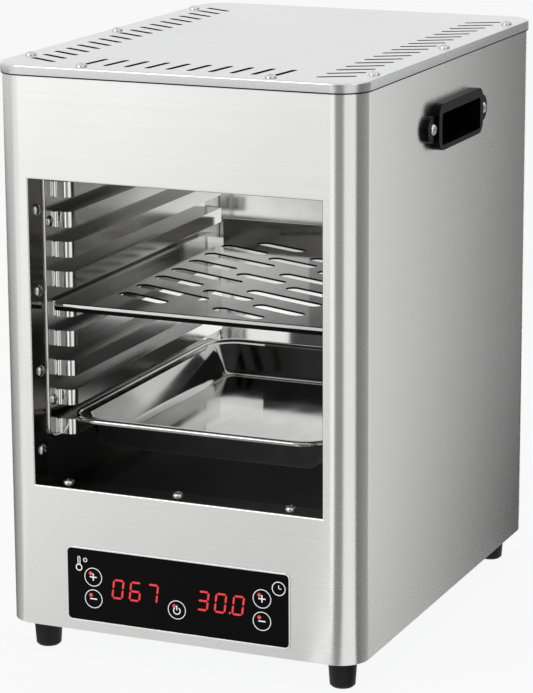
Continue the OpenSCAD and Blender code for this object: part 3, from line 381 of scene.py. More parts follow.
# Relay: a cast blue case.
blue_case = solid("blue relay case", "1B4F8F", "2B66A8", 0.4, 1.5, 5e-6)
# Transformer: amber polyester tape round its windings.
amber_tape = solid("amber winding tape", "B97A14", "D99A2A", 0.35, 2.0, 1e-5)
# Beads and terminal block: unglazed porcelain.
porcelain = solid("unglazed porcelain", "DCD5C4", "F0EADC", 0.55, 1.2, 1e-5)
# Insulation: pressed ceramic fibre, matted and a little yellow.
ceramic_wool = solid("pressed ceramic fibre", "B8AE92", "E6DDC6", 0.95, 1.6, 4e-4)
print(len(bpy.data.materials), "materials")

# %% [markdown]
# ## Turning CAD solids into finished sheet
# A CAD mesh is loose triangles with razor-sharp edges. A copy with its triangles merged, its
# folds and cut edges rounded a little, and smooth shading between them catches light the
# way a deburred sheet does.

# %% Helpers for meshes
CAD_WELD = 2e-6  # points of a CAD mesh that lie nearer than this are one


def piece(name, mesh, material, body, slot, *nodes):
    """Links a finished mesh as a piece that rides on a body and stands for CAD nodes."""
    obj = link(name, mesh)
    if material:
        mesh.materials.clear()
        mesh.materials.append(material)
    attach(obj, body)
    if nodes:
        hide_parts(*nodes)
    return obj


def opened(mesh):
    """A bmesh that starts as a copy of a mesh."""
    bm = bmesh.new()
    bm.from_mesh(mesh)
    return bm


def closed(bm, mesh):
    """Writes a bmesh into a mesh and frees it."""
    bm.to_mesh(mesh)
    bm.free()
    return mesh


def settle(obj):
    """Carries out an object's modifiers and keeps the result as its plain mesh."""
    bpy.context.view_layer.update()
    result = obj.evaluated_get(bpy.context.evaluated_depsgraph_get())
    mesh = bpy.data.meshes.new_from_object(result)
    obj.modifiers.clear()
    obj.data = mesh


def shade(mesh, sharp=32):
    """Smooth shading, with a hard line wherever two faces meet at more than sharp degrees."""
    bm = opened(mesh)
    for face in bm.faces:
        face.smooth = True
    for edge in bm.edges:
        edge.smooth = len(edge.link_faces) == 2 and edge.calc_face_angle(0) < math.radians(sharp)
    closed(bm, mesh)


def merged_copy(node):
    """A copy of a CAD mesh with its points merged and its flat faces joined."""
    mesh = cad_nodes[node].data.copy()
    bm = opened(mesh)
    bmesh.ops.remove_doubles(bm, verts=bm.verts, dist=CAD_WELD)
    bmesh.ops.dissolve_limit(bm, angle_limit=math.radians(0.5), verts=bm.verts, edges=bm.edges)
    return closed(bm, mesh)


def mark_folds(mesh, chosen):
    """Marks the edges whose two ends, in millimetres, pass a test, to be rounded as folds."""
    weights = mesh.attributes.new("bevel_weight_edge", "FLOAT", "EDGE")
    for edge in mesh.edges:
        if chosen([mesh.vertices[k].co / MM for k in edge.vertices]):
            weights.data[edge.index].value = 1.0


def rounded_edges(obj, width_mm, segments=2, fold_mm=0):
    """Rounds an object's edges, evens its shading and keeps the result as a plain mesh.
    Marked edges are rounded first, to fold_mm, as the bends of a fold."""
    for name, width, steps, method in (("folds", fold_mm, 4, "WEIGHT"),
                                       ("edges", width_mm, segments, "ANGLE")):
        if width:
            bevel = obj.modifiers.new(name, "BEVEL")
            bevel.width = width * MM
            bevel.segments = steps
            bevel.limit_method = method
            bevel.angle_limit = math.radians(34)
    obj.modifiers.new("even shading", "WEIGHTED_NORMAL").keep_sharp = True
    settle(obj)


def repaint(obj, material, chosen):
    """Gives a material to the faces whose middle, in millimetres, and normal pass a test."""
    if material.name not in obj.data.materials:
        obj.data.materials.append(material)
    index = obj.data.materials.find(material.name)
    faces = [face for face in obj.data.polygons if chosen(face.center / MM, face.normal)]
    for face in faces:
        face.material_index = index
    return len(faces)


# %% [markdown]
# ## Rings and lofts
# Screw heads, the cover's skirt, the ledges and the drip pan are all outlines that change
# with height or depth. Rings with the same number of points, joined by quads, make such
# shapes cleanly.

# %% Lofted rings
def ring(bm, width, depth, radius, z, centre=(0, 0), steps=12):
    """A rounded rectangle of points, in millimetres, anticlockwise from above."""
    verts = []
    for k, (sx, sy) in enumerate(((1, 1), (-1, 1), (-1, -1), (1, -1))):
        cx = centre[0] + sx * (width / 2 - radius)
        cy = centre[1] + sy * (depth / 2 - radius)
        for step in range(steps + 1):
            angle = math.pi / 2 * (k + step / steps)
            verts.append(bm.verts.new(((cx + radius * math.cos(angle)) * MM,
                                       (cy + radius * math.sin(angle)) * MM, z * MM)))
    return verts


def join_rings(bm, rings, caps=()):
    """Quads between neighbouring rings. caps gives the ring that a face closes as it runs,
    and the ring that a face closes the other way round."""
    for low, high in zip(rings, rings[1:]):
        for k in range(len(low)):
            nxt = (k + 1) % len(low)
            bm.faces.new((low[k], low[nxt], high[nxt], high[k]))
    if caps:
        bm.faces.new(rings[caps[0]])
        bm.faces.new(list(reversed(rings[caps[1]])))


def block(bm, low, high):
    """A box between two corners, in millimetres."""
    for vert in bmesh.ops.create_cube(bm, size=1.0)["verts"]:
        for axis in range(3):
            middle = (low[axis] + high[axis]) / 2
            vert.co[axis] = (middle + vert.co[axis] * (high[axis] - low[axis])) * MM


def bar(bm, profile, x0, x1):
    """A straight bar along X between x0 and x1, from points (y, z) of its section."""
    ends = [[bm.verts.new((x * MM, y * MM, z * MM)) for y, z in profile] for x in (x0, x1)]
    join_rings(bm, ends, caps=(0, -1))


def finished(bm, name, weld=1e-6):
    """Welds a bmesh, turns its faces outwards and returns it as a mesh."""
    bmesh.ops.remove_doubles(bm, verts=bm.verts, dist=weld)
    bmesh.ops.recalc_face_normals(bm, faces=bm.faces)
    return closed(bm, bpy.data.meshes.new(name))


# %% [markdown]
# ## Housing
# The cabinet's front and sides are one sheet, folded round the corners and in at the window.
# Its CAD shape is right, so a merged copy gets half-millimetre edges.

# %% Housing
DRESSED = {  # node: (piece, material, slot, rounding in mm)
    "housing_wrap": ("housing", brushed_wrap, "housing_steel", 0.5),
    "back_panel": ("rear_panel", brushed_wrap, "housing_steel", 0.3),
    "base_plate": ("base_tray", zinc_sheet, "zinc_sheet", 0.3),
    "left_handle": ("left_grip", black_abs, "black_plastic", 0.7),
    "right_handle": ("right_grip", black_abs, "black_plastic", 0.7),
    "feet": ("rubber_feet", moulded_rubber, "rubber", 0.6),
    "cord_bushing": ("lead_bushing", moulded_rubber, "rubber", 0.4),
    # the surround's near-white steel is partly a painted highlight
    "panel_bezel": ("glass_surround", white_steel, "screw_steel", 0.2),
    "control_glass": ("touch_glass", printed_glass, "panel_glass", 0.3),
    # the cavity floor's dark sheet is painted shade
    "chamber_floor": ("cavity_floor", painted_shade_sheet, "lining_steel", 0.4),
}
WIN_HALF, WIN_SILL, WIN_HEAD = 109.0, 126.4, 344.4  # the window's half width, sill and head
FOLD_R, NEAR = 1.1, 0.1


def window_edge(ends):
    """True for an edge on the front's surface that borders the window."""
    on_front = all(abs(c.y - front_y) < NEAR and abs(c.x) < WIN_HALF + NEAR
                   and WIN_SILL - NEAR < c.z < WIN_HEAD + NEAR for c in ends)
    on_jamb = all(abs(abs(c.x) - WIN_HALF) < NEAR for c in ends)
    on_level = any(all(abs(c.z - z) < NEAR for c in ends) for z in (WIN_SILL, WIN_HEAD))
    return on_front and (on_jamb or on_level)


for node, (name, material, slot, width) in DRESSED.items():
    mesh = merged_copy(node)
    shade(mesh)
    if name == "housing":
        front_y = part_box(node)[0].y / MM
        mark_folds(mesh, window_edge)
    obj = piece(name, mesh, material, "cabinet", slot, node)
    rounded_edges(obj, width, fold_mm=FOLD_R if name == "housing" else 0)
    print(name, len(obj.data.polygons), "faces")

# %% The folds round the window
FOLDS_HALF, FOLDS_LOW, FOLDS_TOP = 111.0, 120.0, 350.0  # bounds a little outside the window
FOLDS_FROM, FOLDS_TO = 1.2, 19.6  # behind the front's surface

# the folds round the window get a darker sheet as painted shade
folds = repaint(
    bpy.data.objects["housing"], painted_shade_fold_sheet,
    lambda at, normal: front_y + FOLDS_FROM < at.y < front_y + FOLDS_TO
    and abs(at.x) < FOLDS_HALF and FOLDS_LOW < at.z < FOLDS_TOP)
print(folds, "faces of the window's folds")

# %% [markdown]
# ## Screws
# Pan-head screws with a cross recess hold the cover, the back, the grips and the ledge
# panels. They repeat, so a node tree puts one head and one shank on every point of a small
# point cloud. The points come from the CAD screws: each one's box gives its place.

# %% One screw head
HEAD_R, HEAD_H, HEAD_SIDES, SHANK_R = 4.1, 2.4, 24, 1.9
ARM, ARM_HALF = 2.1 * MM, 0.42 * MM  # the recess: the reach and half width of its arms
BIT_TOP, BIT_LOW, BIT_TAPER = 3 * MM, 1.0 * MM, 0.7

bm = bmesh.new()
outline = [(HEAD_R, 0), (HEAD_R, 0.25), (4.0, 0.75), (3.6, 1.35), (2.9, 1.85), (1.9, 2.22),
           (0.9, 2.37)]
turns = [math.tau * k / HEAD_SIDES for k in range(HEAD_SIDES)]
rings = [[bm.verts.new((r * MM * math.cos(a), r * MM * math.sin(a), z * MM)) for a in turns]
         for r, z in outline]
join_rings(bm, rings, caps=(-1, 0))
head = link("screw head", finished(bm, "screw head"))

bm = bmesh.new()
cross = [(ARM_HALF, ARM_HALF), (ARM_HALF, ARM), (-ARM_HALF, ARM), (-ARM_HALF, ARM_HALF),
         (-ARM, ARM_HALF), (-ARM, -ARM_HALF), (-ARM_HALF, -ARM_HALF), (-ARM_HALF, -ARM),
         (ARM_HALF, -ARM), (ARM_HALF, -ARM_HALF), (ARM, -ARM_HALF), (ARM, ARM_HALF)]
top = [bm.verts.new((x, y, BIT_TOP)) for x, y in cross]
low = [bm.verts.new((x * BIT_TAPER, y * BIT_TAPER, BIT_LOW)) for x, y in cross]
join_rings(bm, [low, top], caps=(-1, 0))
driver_bit = link("cross recess", finished(bm, "cross recess"))
recess = head.modifiers.new("recess", "BOOLEAN")
recess.object = driver_bit
recess.solver = "EXACT"
settle(head)
shade(head.data, 40)
bpy.data.objects.remove(driver_bit)
print("screw head", len(head.data.polygons), "faces")

# %% Helpers for node trees that make shapes
def shape_tree(name, **inputs):
    """A node tree that takes a geometry and these inputs, each with its kind of socket."""
    tree = bpy.data.node_groups.new(name, "GeometryNodeTree")
    titles = {key.replace("_", " ").capitalize(): kind for key, kind in inputs.items()}
    for title, kind in {"Geometry": "Geometry", **titles}.items():
        tree.interface.new_socket(title, in_out="INPUT", socket_type="NodeSocket" + kind)
    tree.interface.new_socket("Geometry", in_out="OUTPUT", socket_type="NodeSocketGeometry")
    return tree, add(tree, "NodeGroupInput").outputs


def end_tree(tree, shape, steel):
    """Ends a tree: its instances are made real, and all of it is dressed in a steel."""
    real = add(tree, "GeometryNodeRealizeInstances", {"Geometry": shape})
    dressed = add(tree, "GeometryNodeSetMaterial", {"Geometry": real, "Material": steel})
    add(tree, "NodeGroupOutput", {"Geometry": dressed})
    return tree


def grow(obj, tree, **values):
    """Gives an object a node tree with its named inputs set, and keeps the result as a mesh."""
    modifier = obj.modifiers.new(tree.name, "NODES")
    modifier.node_group = tree
    for item in tree.interface.items_tree:
        key = item.name.lower().replace(" ", "_")
        if item.in_out == "INPUT" and key in values:
            modifier[item.identifier] = values[key]
    settle(obj)


# %% Node tree that sets a screw on every point
tree, given = shape_tree("screws on points", head="Object", shank_radius="Float",
                         shank_length="Float", seed="Int", steel="Material")
whole_head = add(tree, "GeometryNodeObjectInfo", {"Object": given["Head"]})
shank = add(tree, "GeometryNodeMeshCylinder",
            {"Vertices": 16, "Radius": given["Shank radius"], "Depth": given["Shank length"]})
drop = add(tree, "ShaderNodeMath", {0: given["Shank length"], 1: -0.5}, operation="MULTIPLY")
below = add(tree, "ShaderNodeCombineXYZ", {"Z": drop})
lowered = add(tree, "GeometryNodeTransform", {"Geometry": shank, "Translation": below})
one_screw = add(tree, "GeometryNodeJoinGeometry", {"Geometry": lowered})
tree.links.new(whole_head.outputs["Geometry"], one_screw.inputs["Geometry"])
way = add(tree, "GeometryNodeInputNamedAttribute", {"Name": "aim"}, data_type="FLOAT_VECTOR")
facing = add(tree, "FunctionNodeAlignRotationToVector", {"Vector": way.outputs["Attribute"]},
             axis="Z")
spin = add(tree, "FunctionNodeRandomValue", {"Min": 0.0, "Max": 1.57, "Seed": given["Seed"]},
           data_type="FLOAT")
about = add(tree, "FunctionNodeAxisAngleToRotation", {"Axis": (0, 0, 1)})
tree.links.new(next(o for o in spin.outputs if o.enabled), about.inputs["Angle"])
turned = add(tree, "FunctionNodeRotateRotation", {"Rotation": facing, "Rotate By": about},
             rotation_space="LOCAL")
placed = add(tree, "GeometryNodeInstanceOnPoints",
             {"Points": given["Geometry"], "Instance": one_screw,
              "Rotation": turned})
screw_tree = end_tree(tree, placed, given["Steel"])

# %% Screws of every kind
def islands(node):
    """The lowest and highest corner of each separate solid in a CAD node."""
    bm = opened(cad_nodes[node].data)
    bmesh.ops.remove_doubles(bm, verts=bm.verts, dist=CAD_WELD)
    left, found = set(bm.verts), []
    while left:
        group, todo = [], [left.pop()]
        while todo:
            vert = todo.pop()
            group.append(vert.co.copy())
            for edge in vert.link_edges:
                other = edge.other_vert(vert)
                if other in left:
                    left.discard(other)
                    todo.append(other)
        found.append((Vector(min(c[i] for c in group) for i in range(3)),
                      Vector(max(c[i] for c in group) for i in range(3))))
    bm.free()
    return found


SCREWS = {  # node: (piece, where a head points, with X counted away from the middle)
    "cover_screws": ("cover_screw_set", (0, 0, 1)),
    "back_screws": ("rear_screw_set", (0, 1, 0)),
    "foot_screws": ("foot_screw_set", (0, 0, -1)),
    "sill_screws": ("sill_screw_set", (0, 0, 1)),
    "jamb_screws": ("jamb_screw_set", (-1, 0, 0)),
    "runner_screws": ("ledge_screw_set", (-1, 0, 0)),
    "handle_screws": ("grip_screw_set", (1, 0, 0)),
}
for seed, (node, (name, (x, y, z))) in enumerate(SCREWS.items()):
    spots, ways, depth = [], [], 0
    for low, high in islands(node):
        centre = (low + high) / 2
        way = Vector((x * math.copysign(1, centre.x) if x else 0, y, z))
        length = abs((high - low).dot(way))
        depth = length - HEAD_H * MM
        spots.append(centre + way * (length / 2 - HEAD_H * MM))
        ways.extend(way)
    mesh = bpy.data.meshes.new(name)
    mesh.from_pydata(spots, [], [])
    mesh.attributes.new("aim", "FLOAT_VECTOR", "POINT").data.foreach_set("vector", ways)
    obj = piece(name, mesh, None, "cabinet", "screw_steel")
    grow(obj, screw_tree, head=head, shank_radius=SHANK_R * MM, shank_length=depth,
         seed=seed + 1, steel=bright_screw)
    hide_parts(node)
    print(name, len(spots), "screws,", len(obj.data.polygons), "faces")
bpy.data.objects.remove(head)

# %% [markdown]
# ## A pierced sheet
# The cover and the rack are flat sheets with rows of round-ended slots, each punched at its
# own place and turn. A node tree draws the outline and every slot as curves, fills what lies
# between them, and gives the sheet its thickness.

# %% Node tree for a pierced sheet
def rounded(tree, width, height, radius, count):
    """The outline of a rectangle with rounded corners, each in this many steps."""
    outline = add(tree, "GeometryNodeCurvePrimitiveQuadrilateral",
                  {"Width": width, "Height": height})
    return add(tree, "GeometryNodeFilletCurve",
               {"Curve": outline, "Radius": radius, "Count": count}, mode="POLY")


tree, given = shape_tree("pierced sheet", width="Float", depth="Float", corner="Float",
                         short_slot="Float", long_slot="Float", slot_width="Float",
                         thickness="Float", place="Vector", steel="Material")
outlines = add(tree, "GeometryNodeJoinGeometry", {
    "Geometry": rounded(tree, given["Width"], given["Depth"], given["Corner"], 12)})
kind_of = add(tree, "GeometryNodeInputNamedAttribute", {"Name": "long"}, data_type="BOOLEAN")
turn_of = add(tree, "GeometryNodeInputNamedAttribute", {"Name": "turn"}, data_type="FLOAT")
turn_by = add(tree, "ShaderNodeCombineXYZ", {"Z": turn_of.outputs["Attribute"]})
# a little less than half, so that the two rounded corners of an end don't meet in one point
end_r = add(tree, "ShaderNodeMath", {0: given["Slot width"], 1: 0.4999}, operation="MULTIPLY")
is_long = kind_of.outputs["Attribute"]
is_short = add(tree, "FunctionNodeBooleanMath", {0: is_long}, operation="NOT")
for length, chosen in (("Short slot", is_short), ("Long slot", is_long)):
    outline = rounded(tree, given[length], given["Slot width"], end_r, 6)
    punched = add(tree, "GeometryNodeInstanceOnPoints",
                  {"Points": given["Geometry"], "Selection": chosen,
                   "Instance": outline, "Rotation": turn_by})
    real = add(tree, "GeometryNodeRealizeInstances", {"Geometry": punched})
    tree.links.new(real.outputs[0], outlines.inputs["Geometry"])
filled = add(tree, "GeometryNodeFillCurve", {"Curve": outlines}, mode="NGONS")
thick = add(tree, "GeometryNodeExtrudeMesh",
            {"Mesh": filled, "Offset Scale": given["Thickness"], "Individual": False})
under = add(tree, "GeometryNodeFlipFaces", {"Mesh": filled})
whole = add(tree, "GeometryNodeJoinGeometry", {"Geometry": under})
tree.links.new(thick.outputs["Mesh"], whole.inputs["Geometry"])
welded = add(tree, "GeometryNodeMergeByDistance", {"Geometry": whole, "Distance": 1e-6})
moved = add(tree, "GeometryNodeTransform", {"Geometry": welded, "Translation": given["Place"]})
sheet_tree = end_tree(tree, moved, given["Steel"])


def pierced(name, slots, place, steel, **sizes):
    """A sheet with slots given as (x, y, turn in degrees, long or not), sizes in millimetres."""
    mesh = bpy.data.meshes.new(name)
    mesh.from_pydata([(x * MM, y * MM, 0) for x, y, _, _ in slots], [], [])
    for title, kind, values in (("turn", "FLOAT", [math.radians(t) for _, _, t, _ in slots]),
                                ("long", "BOOLEAN", [bool(k) for *_, k in slots])):
        mesh.attributes.new(title, kind, "POINT").data.foreach_set("value", values)
    obj = link(name, mesh)
    grow(obj, sheet_tree, place=[c * MM for c in place], steel=steel,
         **{key: size * MM for key, size in sizes.items()})
    return obj


def shade_slot_walls(obj, half_w, low_y, high_y, top, flattest=0.8):
    """Paints shade on the faces that aren't level, between these bounds in millimetres."""
    repaint(obj, painted_edge_shade,
            lambda at, normal: abs(normal.z) < flattest and abs(at.x) < half_w
            and low_y < at.y < high_y and at.z < top)


# %% [markdown]
# ## Top cover
# The cover is a shallow lid. Eighteen slanting vents run along each side and ten along the
# front. Its skirt turns down over the housing round a bend of small radius.

# %% Top cover
COVER_W, COVER_D, COVER_R = 272.6, 364.6, 22.3
COVER_TOP, SKIRT, SHEET, BEND, RIM_FOLD = 423.0, 7.6, 1.2, 1.4, 0.9
SIDE_VENTS, VENT_X, VENT_PITCH, VENT_SHIFT, VENT_TURN = 18, 108.5, 17.2, -8.0, 29
FRONT_VENTS, FRONT_Y, FRONT_PITCH, FRONT_TURN = 10, -151.0, 15.6, 84
VENT_LENGTH, FRONT_LENGTH, VENT_W = 27, 30, 4.2
PLAIN = 8  # how wide the cover stays plain along its edge

vents = []
for k in range(SIDE_VENTS):
    y = (k - (SIDE_VENTS - 1) / 2) * VENT_PITCH + VENT_SHIFT
    vents += [(side * VENT_X, y, side * VENT_TURN, False) for side in (-1, 1)]
vents += [((k - (FRONT_VENTS - 1) / 2) * FRONT_PITCH, FRONT_Y, FRONT_TURN, True)
          for k in range(FRONT_VENTS)]
cover = pierced("cover", vents, (0, 0, COVER_TOP - SHEET), brushed_cover,
                width=COVER_W - 2 * BEND, depth=COVER_D - 2 * BEND, corner=COVER_R - BEND,
                short_slot=VENT_LENGTH, long_slot=FRONT_LENGTH, slot_width=VENT_W,
                thickness=SHEET)
bm = opened(cover.data)
profile = [(BEND - BEND * math.sin(a), COVER_TOP - BEND + BEND * math.cos(a))
           for a in (math.pi / 2 * k / 5 for k in range(6))]
profile += [(0, COVER_TOP - SKIRT + 1.0), (0.5, COVER_TOP - SKIRT), (SHEET, COVER_TOP - SKIRT),
            (SHEET, COVER_TOP - SHEET)]
join_rings(bm, [ring(bm, COVER_W - 2 * i, COVER_D - 2 * i, COVER_R - i, z) for i, z in profile])
cover_mesh = finished(bm, "cover")
half_w, half_d = COVER_W / 2 - PLAIN, COVER_D / 2 - PLAIN
mark_folds(cover_mesh, lambda ends: all(
    c.z > COVER_TOP - 0.01 and abs(c.x) < half_w and abs(c.y) < half_d for c in ends))
shade(cover_mesh)
bpy.data.objects.remove(cover)
cover = piece("vented_cover", cover_mesh, brushed_cover, "cabinet", "cover_steel", "top_cover")
rounded_edges(cover, 0.25, fold_mm=RIM_FOLD)
# the slots' walls and rounded rims get painted shade
shade_slot_walls(cover, half_w, -half_d, half_d, COVER_TOP, 0.99)
# the skirt's lowest edge is painted dark too, as the shadow of the seam below it
repaint(cover, painted_edge_shade, lambda at, normal: at.z < COVER_TOP - SKIRT + 0.9)
print("cover", len(vents), "vents,", len(cover.data.polygons), "faces")

# %% [markdown]
# ## Slotted rack
# The rack is pierced like the cover, from polished sheet greyed by use. Its slots slant and
# stand in staggered columns, so that no straight row weakens it. Its front edge turns down
# as a lip that leans back under the sheet, so only its bend catches the light, and its back
# edge turns up as a stop. The bend also gets a brighter sheet as a painted highlight, and the
# lip below it a nearly black one as painted shade.

# %% Slotted rack
low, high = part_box("slotted_rack")
RACK_W, RACK_T, RACK_R, LIP, BACK_W, SLOT_W = 210.0, 1.4, 3, 4.0, 184.0, 11
rack_front, rack_back = low.y / MM, high.y / MM
rack_z = low.z / MM + LIP
rack_top = rack_z + RACK_T
SHORT, LONG, SLANT, PITCH = 47.0, 71.0, -22.0, 59.0
REACH, ROW, SKEW, SHIFT = 73.5, 84.5, 6.0, -1.5

cos, sin = math.cos(math.radians(SLANT)), math.sin(math.radians(SLANT))
short_x, long_x = REACH - SHORT * cos / 2, REACH - LONG * cos / 2
middle = ROW - PITCH / 2
slots = [(0, middle - k * PITCH, False) for k in range(3)]
for side in (-1, 1):
    first = middle + side * SKEW
    slots += [(side * short_x, ROW - k * PITCH, False) for k in range(4)]
    slots += [(side * long_x, first - k * PITCH, True) for k in range(3)]
    # each column of long slots ends in a short one, which keeps a long one's inner end
    cut = -side * (LONG - SHORT) / 2
    end = first + PITCH if side < 0 else first - 3 * PITCH
    slots.append((side * long_x + cut * cos, end + cut * sin, False))
rack = pierced("rack", [(x + SHIFT, y, SLANT, long) for x, y, long in slots],
               (0, (rack_front + rack_back) / 2, rack_z), pan_sheet, width=RACK_W,
               depth=rack_back - rack_front, corner=RACK_R, short_slot=SHORT, long_slot=LONG,
               slot_width=SLOT_W, thickness=RACK_T)
bm = opened(rack.data)
lip_low = rack_z - LIP
lip = [(rack_front + y, z) for y, z in (
    (3.2, rack_top), (1.6, rack_top), (0.8, rack_top - 0.2), (0.25, rack_top - 0.65),
    (0, rack_top - 1.3), (0.2, rack_top - 2.0), (1.8, lip_low), (3.2, lip_low),
    (1.6, rack_top - 1.8), (3.2, rack_top - 1.4))]
bar(bm, lip, -RACK_W / 2 + 1, RACK_W / 2 - 1)
block(bm, (-BACK_W / 2, rack_back - RACK_T, rack_z + 0.7), (BACK_W / 2, rack_back, high.z / MM))
rack_mesh = finished(bm, "rack", weld=1e-7)
shade(rack_mesh)
bpy.data.objects.remove(rack)
rack = piece("slotted_shelf", rack_mesh, pan_sheet, "rack", "polished_steel", "slotted_rack")
rounded_edges(rack, 0.3)
# the slots' walls get painted shade
shade_slot_walls(rack, RACK_W / 2 - 2, rack_front + 5, rack_back - 3, rack_top)


def on_lip(at, normal):
    """True for a face on the front of the lip."""
    return at.z <= rack_top + 0.2 and at.y < rack_front + 1.8 and normal.y < -0.1


LIP_HIGHLIGHT_LINE = rack_top - 2.6  # the lip gets a painted highlight above this height, and painted shade below it
repaint(rack, lining_sheet, lambda at, normal: at.z > rack_top + 0.2)  # the stop
# the bend gets the brighter mirror sheet as a painted highlight, the face below it painted shade
repaint(rack, mirror_sheet, lambda at, normal: on_lip(at, normal) and at.z > LIP_HIGHLIGHT_LINE)
repaint(rack, painted_edge_shade, lambda at, normal: on_lip(at, normal) and at.z <= LIP_HIGHLIGHT_LINE)
print("rack", len(slots), "slots,", len(rack.data.polygons), "faces")

# %% [markdown]
# ## Drip pan
# The pan is drawn from one sheet: a rolled rim, a narrow flange, walls that lean in, and a
# floor with a soft edge. The section is walked once round, up the inside and down the outside,
# and every point of it becomes a ring.

# %% Drip pan
low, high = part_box("drip_pan")
PAN_R, RIM_R, FLANGE, DRAFT, FLOOR_R, PAN_T, PAN_H = 28.0, 2.2, 5.5, 7.0, 8.0, 1.0, 23.0
BEAD_HALF, BEAD_STEPS = 165, 20  # the rolled rim, in degrees to each side of straight out
pan_w, pan_d = (high.x - low.x) / MM, (high.y - low.y) / MM
rim_z = high.z / MM - RIM_R
brim = PAN_R - 2 * RIM_R - FLANGE
bend_x, bend_z = brim - DRAFT - FLOOR_R, FLOOR_R - PAN_H
away = math.hypot(brim - bend_x, -bend_z)
lean = math.atan2(-bend_z, brim - bend_x) - math.acos(FLOOR_R / away)


def bend_arc(radius, steps=8):
    """The curve between floor and wall, from the floor up, as (distance out, height)."""
    turns = [-math.pi / 2 + (lean + math.pi / 2) * k / steps for k in range(steps + 1)]
    return [(bend_x + radius * math.cos(a), bend_z + radius * math.sin(a)) for a in turns]


wall = math.sqrt(away ** 2 - FLOOR_R ** 2)
inner_top = (bend_x + (FLOOR_R - PAN_T) * math.cos(lean) - wall * math.sin(lean),
             bend_z + (FLOOR_R - PAN_T) * math.sin(lean) + wall * math.cos(lean))
bead = [(PAN_R - RIM_R + RIM_R * math.cos(a), RIM_R * math.sin(a))
        for a in (math.radians(BEAD_HALF - 2 * BEAD_HALF * k / BEAD_STEPS)
                  for k in range(BEAD_STEPS + 1))]
section = bend_arc(FLOOR_R - PAN_T) + [inner_top, (inner_top[0] + 0.8, 0.5)] + bead
section += [(brim + 0.8, -0.5), (brim - 0.1, -0.8)] + list(reversed(bend_arc(FLOOR_R)))
bm = bmesh.new()
centre = (0, (low.y + high.y) / 2 / MM)
rings = [ring(bm, pan_w - 2 * (PAN_R - x), pan_d - 2 * (PAN_R - x), x, rim_z + z, centre)
         for x, z in section]
join_rings(bm, rings, caps=(0, -1))
pan_mesh = finished(bm, "pan")
shade(pan_mesh, 50)
piece("drip_tray", pan_mesh, pan_sheet, "pan", "polished_steel", "drip_pan")
print("pan", len(section), "rings,", len(pan_mesh.polygons), "faces")

# %% [markdown]
# ## Ledge panels
# Nine ledges are pressed out of each side panel. One ledge is shaped with its round nose and
# fillets, and a node tree repeats it up the panel at the ledges' pitch.

# %% One ledge and its panel
low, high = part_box("right_runner")
LEDGE_H, REACH_IN, NOSE, FILLET, LEDGES, FIRST = 11.1, 13.0, 6.0, 3.0, 9, 1.5
PANEL_T, CORNER, EDGE_R, EDGE_SIDES, EDGE_PROUD = 1.2, 12.0, 1.3, 12, 0.1
BEFORE, BEHIND, OVER = 17.5, 19.0, 15.0  # the plain panel before, behind and over the ledges
y_min, y_max, z_min, z_max = low.y / MM, high.y / MM, low.z / MM, high.z / MM
panel_x = high.x / MM - PANEL_T
y0, y1 = y_min + BEFORE, y_max - BEHIND
ledge_pitch = ((high.z - low.z) / MM - FIRST - LEDGE_H - OVER) / (LEDGES - 1)


def arc(cx, cy, radius, start, stop, steps=6):
    """Points of an arc, its angles in degrees."""
    turns = [math.radians(start + (stop - start) * k / steps) for k in range(steps + 1)]
    return [(cx + radius * math.cos(a), cy + radius * math.sin(a)) for a in turns]


half_plan = arc(panel_x - FILLET, y0 - FILLET, FILLET, 0, 90)
half_plan += arc(panel_x - REACH_IN + NOSE, y0 + NOSE, NOSE, 270, 180, 8)
plan = half_plan + [(x, y0 + y1 - y) for x, y in reversed(half_plan)]
z0 = z_min + FIRST
bm = bmesh.new()
rings = [[bm.verts.new((x * MM, y * MM, z * MM)) for x, y in plan] for z in (z0, z0 + LEDGE_H)]
join_rings(bm, rings, caps=(-1, 0))
ledge = link("ledge", finished(bm, "ledge"))

bm = bmesh.new()
outline = [(y_max, z_max), (y_min, z_max)]
outline += arc(y_min + CORNER, z_min + CORNER, CORNER, 180, 270)
outline += arc(y_max - CORNER, z_min + CORNER, CORNER, 270, 360)
bar(bm, outline, panel_x, panel_x + PANEL_T)
# the panel's edge is rolled over, and stands a little proud of its face
rolls = []
for k, (y, z) in enumerate(outline[1:]):
    before, after = outline[max(k, 1)], outline[min(k + 2, len(outline) - 1)]
    along = Vector((after[0] - before[0], after[1] - before[1])).normalized()
    out = Vector((along.y, -along.x))
    rolls.append([bm.verts.new(((panel_x + EDGE_R * (math.cos(a) - EDGE_PROUD)) * MM,
                                (y + (out.x * math.sin(a) - out.x) * EDGE_R) * MM,
                                (z + (out.y * math.sin(a) - out.y) * EDGE_R) * MM))
                  for a in (math.tau * j / EDGE_SIDES for j in range(EDGE_SIDES))])
join_rings(bm, rolls, caps=(0, -1))
panel = link("panel", finished(bm, "panel"))

# %% Node tree that repeats the ledge
tree, given = shape_tree("ledges up a panel", ledge="Object", count="Int", pitch="Float",
                         steel="Material")
rise = add(tree, "ShaderNodeCombineXYZ", {"Z": given["Pitch"]})
places = add(tree, "GeometryNodeMeshLine", {"Count": given["Count"], "Offset": rise})
one = add(tree, "GeometryNodeObjectInfo", {"Object": given["Ledge"]})
row = add(tree, "GeometryNodeInstanceOnPoints",
          {"Points": places, "Instance": one.outputs["Geometry"]})
both = add(tree, "GeometryNodeJoinGeometry", {"Geometry": given["Geometry"]})
tree.links.new(row.outputs[0], both.inputs["Geometry"])
ledge_tree = end_tree(tree, both, given["Steel"])

# %% Both ledge panels
grow(panel, ledge_tree, ledge=ledge, count=LEDGES, pitch=ledge_pitch * MM, steel=satin_sheet)


def proud(at):
    """True for a place that stands out of the panel's face, into the cavity."""
    return abs(at.x) < panel_x - 0.1


